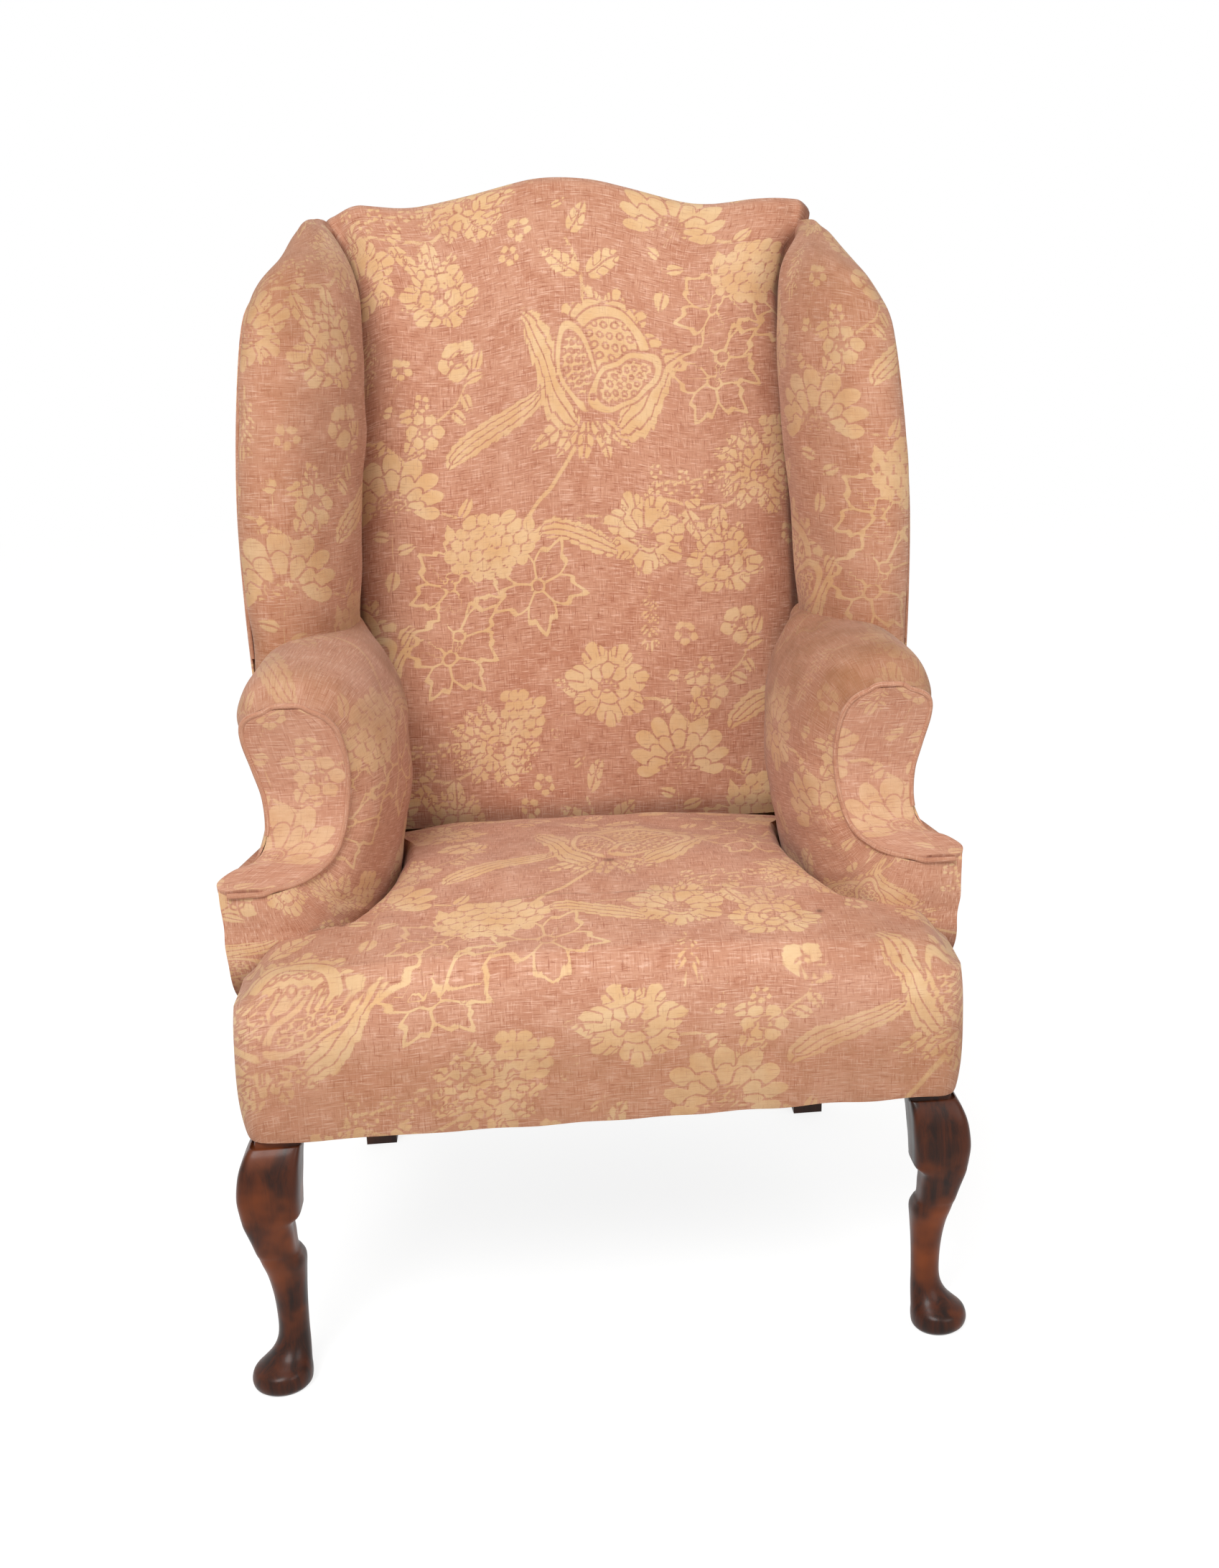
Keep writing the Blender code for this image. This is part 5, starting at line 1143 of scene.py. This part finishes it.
def outside_wing_rows(columns=60):
    """From the arm's roll up the welt, then up the pad's rear end, each row running to the post."""
    edge = wing[:, -1] + (wing[:, -1] - wing[:, -2]) / 0.003 * 0.0030
    start = np.concatenate([edge[::2], wing[-1, -4:44:-3]])
    post_x = np.full(len(start), FRAME_X_BACK + 0.0007)
    post = np.stack([post_x, post_front(start[:, 2]) + POST_DEPTH, start[:, 2]], axis=1)
    share = np.linspace(0, 1, columns)[None, :, None]
    rows = start[:, None] * (1 - share) + post[:, None] * share
    rows[..., 0] += 0.009 * np.sin(np.pi * share[..., 0]) * ease((1.09 - rows[..., 2]) / 0.05)
    drop = 0.001 + 0.055 * ease((rows[0, :, 1] - ARM_END_Y + 0.010) / 0.006)
    below = rows[:1] - np.stack([drop * 0, drop * 0, drop], axis=1)[None]
    return np.concatenate([below, rows])


outside_arm, outside_wing = outside_arm_rows(), outside_wing_rows()
for side, sign in SIDES:
    for name, drawn, start in (("arm", outside_arm, (90, -60)), ("wing", outside_wing, (40, 260))):
        grid = mirrored(drawn, sign)
        flat = lay_flat(grid)
        grid = grid + np.array([sign * (CLOTH + 0.0002), 0, 0])
        u, v = flat[..., 0], flat[..., 1]
        at = on_bolt(flat, start, sign)
        wear_and_shade = {"soil_and_shade": 0.08 + 0.1 * ease(wobble(u, v, 0.2, 81)),
                "fade": 0.2 + 0.2 * ease(wobble(u, v, 0.15, 82))}
        piece = cover("outside_%s_%s" % (name, side), grid, at, wear_and_shade, sheet=CLOTH * 0.8)
        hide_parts("outside_%s_cover_%s" % (name, side))

x = np.linspace(-FRAME_X_BACK, FRAME_X_BACK, 120)
top = crest_top(x) - 0.021
share = np.linspace(0, 1, 150)[:, None]
z = RAIL_BOTTOM + (top - RAIL_BOTTOM) * share
grid = np.stack([np.broadcast_to(x, z.shape), post_front(z) + POST_DEPTH + CLOTH, z], axis=-1)
flat = lay_flat(grid)
u, v = flat[..., 0], flat[..., 1]
wear_and_shade = {"soil_and_shade": 0.08 + 0.1 * ease(wobble(u, v, 0.2, 83)),
        "fade": 0.2 + 0.2 * ease(wobble(u, v, 0.15, 84))}
at = on_bolt(flat - [u.max() / 2, 0], (0, -640), -1)
piece = cover("outside_back_cloth", grid, at, wear_and_shade, sheet=CLOTH * 0.8)
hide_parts("outside_back_cover")

# %% [markdown]
# ## Front legs
#
# A cabriole leg swells at the knee, narrows to the ankle and ends in a round pad foot. Its
# section is a square with rounded corners above and a circle below. A superellipse gives every
# section between the two with one number.

# %% Front legs
LEG_LEVELS = np.array([
    (345, 77, 32, 0.05), (264, 77, 32, 0.05), (258, 76, 27, 0.10), (250, 75, 22, 0.18),
    (238, 74, 17, 0.28), (225, 73.5, 14, 0.38), (208, 72.5, 12.5, 0.45), (192, 72, 14, 0.5),
    (186, 71, 15, 0.5), (178, 63.5, 17, 0.5),
    (160, 64, 22, 0.55), (146, 65, 25.5, 0.6), (140, 68, 27.5, 0.6), (131, 71.5, 29.5, 0.65),
    (116, 71, 33.5, 0.75), (96, 70, 37, 0.85), (76, 69.5, 39, 0.92), (55, 69.5, 39.5, 0.96),
    (42, 70, 37, 1.0), (32, 70.5, 31, 1.0), (25, 71, 23, 1.0), (20, 71.5, 16.5, 1.0), (16, 72, 14, 1.0),
    (10, 72, 13, 1.0), (4, 71, 14.5, 1.0), (0, 68, 18.5, 1.0)])


def leg_grid(around=56, levels=150):
    rows = []
    for height, inner, outer, roundness in curve(LEG_LEVELS, levels):
        half = (inner - outer) / 2 * MM
        centre_x = TIP_X - (inner + outer) / 2 * MM
        lean = 0.006 * (1 - min(1.0, height / 264))
        centre_y = -(centre_x - FRAME_X_FRONT - RAIL_FRONT_Y + lean)
        power = 2 / (2 + 9 * (1 - min(1.0, roundness)) ** 2)
        turn = np.linspace(0, 2 * np.pi, around, endpoint=False)
        c, s = np.cos(turn), np.sin(turn)
        x = centre_x + half * np.sign(c) * np.abs(c) ** power
        y = centre_y + half * np.sign(s) * np.abs(s) ** power
        rows.append(np.stack([x, y, np.full(around, max(0.0, height * MM))], axis=1))
    return np.stack(rows)


leg = leg_grid()
rows, around = leg.shape[:2]
for side, sign in SIDES:
    points = mirrored(leg, sign).reshape(-1, 3)
    faces = []
    for i in range(rows - 1):
        for j in range(around):
            low, k = i * around, (j + 1) % around
            faces.append((low + j, low + k, low + around + k, low + around + j))
    faces += [tuple(range(around)), tuple(range(len(points) - around, len(points)))]
    piece = finish_mesh("cabriole_leg_" + side, points, faces, points[:, :2], walnut)
    tidy_mesh(piece, sharp=55)
    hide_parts("front_leg_" + side)
print("legs:", len(faces), "faces each")

# %% [markdown]
# ## Room, light and camera
#
# A pale floor and a white world, with a large soft lamp to the front left and a weaker one to
# the right. The floor turns white for the camera, but keeps the chair's shadow.

# %% Stage
floor_mesh = bpy.data.meshes.new("floor")
floor_mesh.from_pydata([(-8, -8, 0), (8, -8, 0), (8, 8, 0), (-8, 8, 0)], [], [(0, 1, 2, 3)])
floor = bpy.data.objects.new("floor", floor_mesh)
bpy.context.scene.collection.objects.link(floor)
paper, tree, shader = new_material("white_paper")
shader.inputs["Base Color"].default_value = (0.78, 0.78, 0.77, 1)
shader.inputs["Roughness"].default_value = 0.9
path_of = tree.nodes.new("ShaderNodeLightPath")
seen = add(tree, "Math", {0: path_of.outputs["Is Camera Ray"], 1: path_of.outputs["Is Glossy Ray"]},
           operation="MAXIMUM")
glow = add(tree, "Emission", {"Color": (1, 1, 1, 1), "Strength": 1.32})
share = add(tree, "Math", {0: seen, 1: 0.62}, operation="MULTIPLY")
mixed = add(tree, "MixShader", {0: share, 1: shader.outputs[0], 2: glow})
tree.links.new(mixed, tree.nodes["Material Output"].inputs["Surface"])
floor_mesh.materials.append(paper)

world = bpy.data.worlds.new("studio")
bpy.context.scene.world = world
world.use_nodes = True
tree = world.node_tree
rays = tree.nodes.new("ShaderNodeLightPath")
seen = add(tree, "Math", {0: rays.outputs["Is Camera Ray"], 1: rays.outputs["Is Glossy Ray"]},
           operation="MAXIMUM")
seen = add(tree, "Math", {0: seen, 1: rays.outputs["Is Transmission Ray"]}, operation="MAXIMUM")
strength = add(tree, "MapRange", {0: seen, 1: 0.0, 2: 1.0, 3: 0.55, 4: 1.0})
background = tree.nodes["Background"]
background.inputs[0].default_value = (1, 1, 1, 1)
tree.links.new(strength, background.inputs[1])


def area_light(name, place, target, size, power):
    lamp = bpy.data.lights.new(name, "AREA")
    lamp.shape, lamp.size, lamp.energy = "DISK", size, power
    light = bpy.data.objects.new(name, lamp)
    light.location = place
    light.rotation_mode = "QUATERNION"
    light.rotation_quaternion = (Vector(target) - Vector(place)).to_track_quat("-Z", "Y")
    bpy.context.scene.collection.objects.link(light)


area_light("key", (-1.0, -2.7, 3.1), (0, 0, 0.6), 1.8, 92)
area_light("fill", (1.8, -2.5, 1.8), (0, 0, 0.7), 1.8, 20)

# %% Camera
camera = bpy.data.cameras.new("camera")
camera.sensor_width = 36
camera.lens = 39.81
camera.shift_x, camera.shift_y = -0.118, -0.0426
viewer = bpy.data.objects.new("camera", camera)
bpy.context.scene.collection.objects.link(viewer)
YAW, PITCH, ROLL = math.radians(-8.59), math.radians(12.31), math.radians(-0.39)
viewer.location = (-0.0579, -1.9314, 1.0215)
ahead = Vector((-math.sin(YAW) * math.cos(PITCH), math.cos(YAW) * math.cos(PITCH), -math.sin(PITCH)))
viewer.rotation_mode = "QUATERNION"
viewer.rotation_quaternion = ahead.to_track_quat("-Z", "Y") @ Quaternion((0, 0, 1), ROLL)
bpy.context.scene.camera = viewer
bpy.context.scene.view_settings.view_transform = "Standard"

# %% Hand over
bpy.context.view_layer.update()
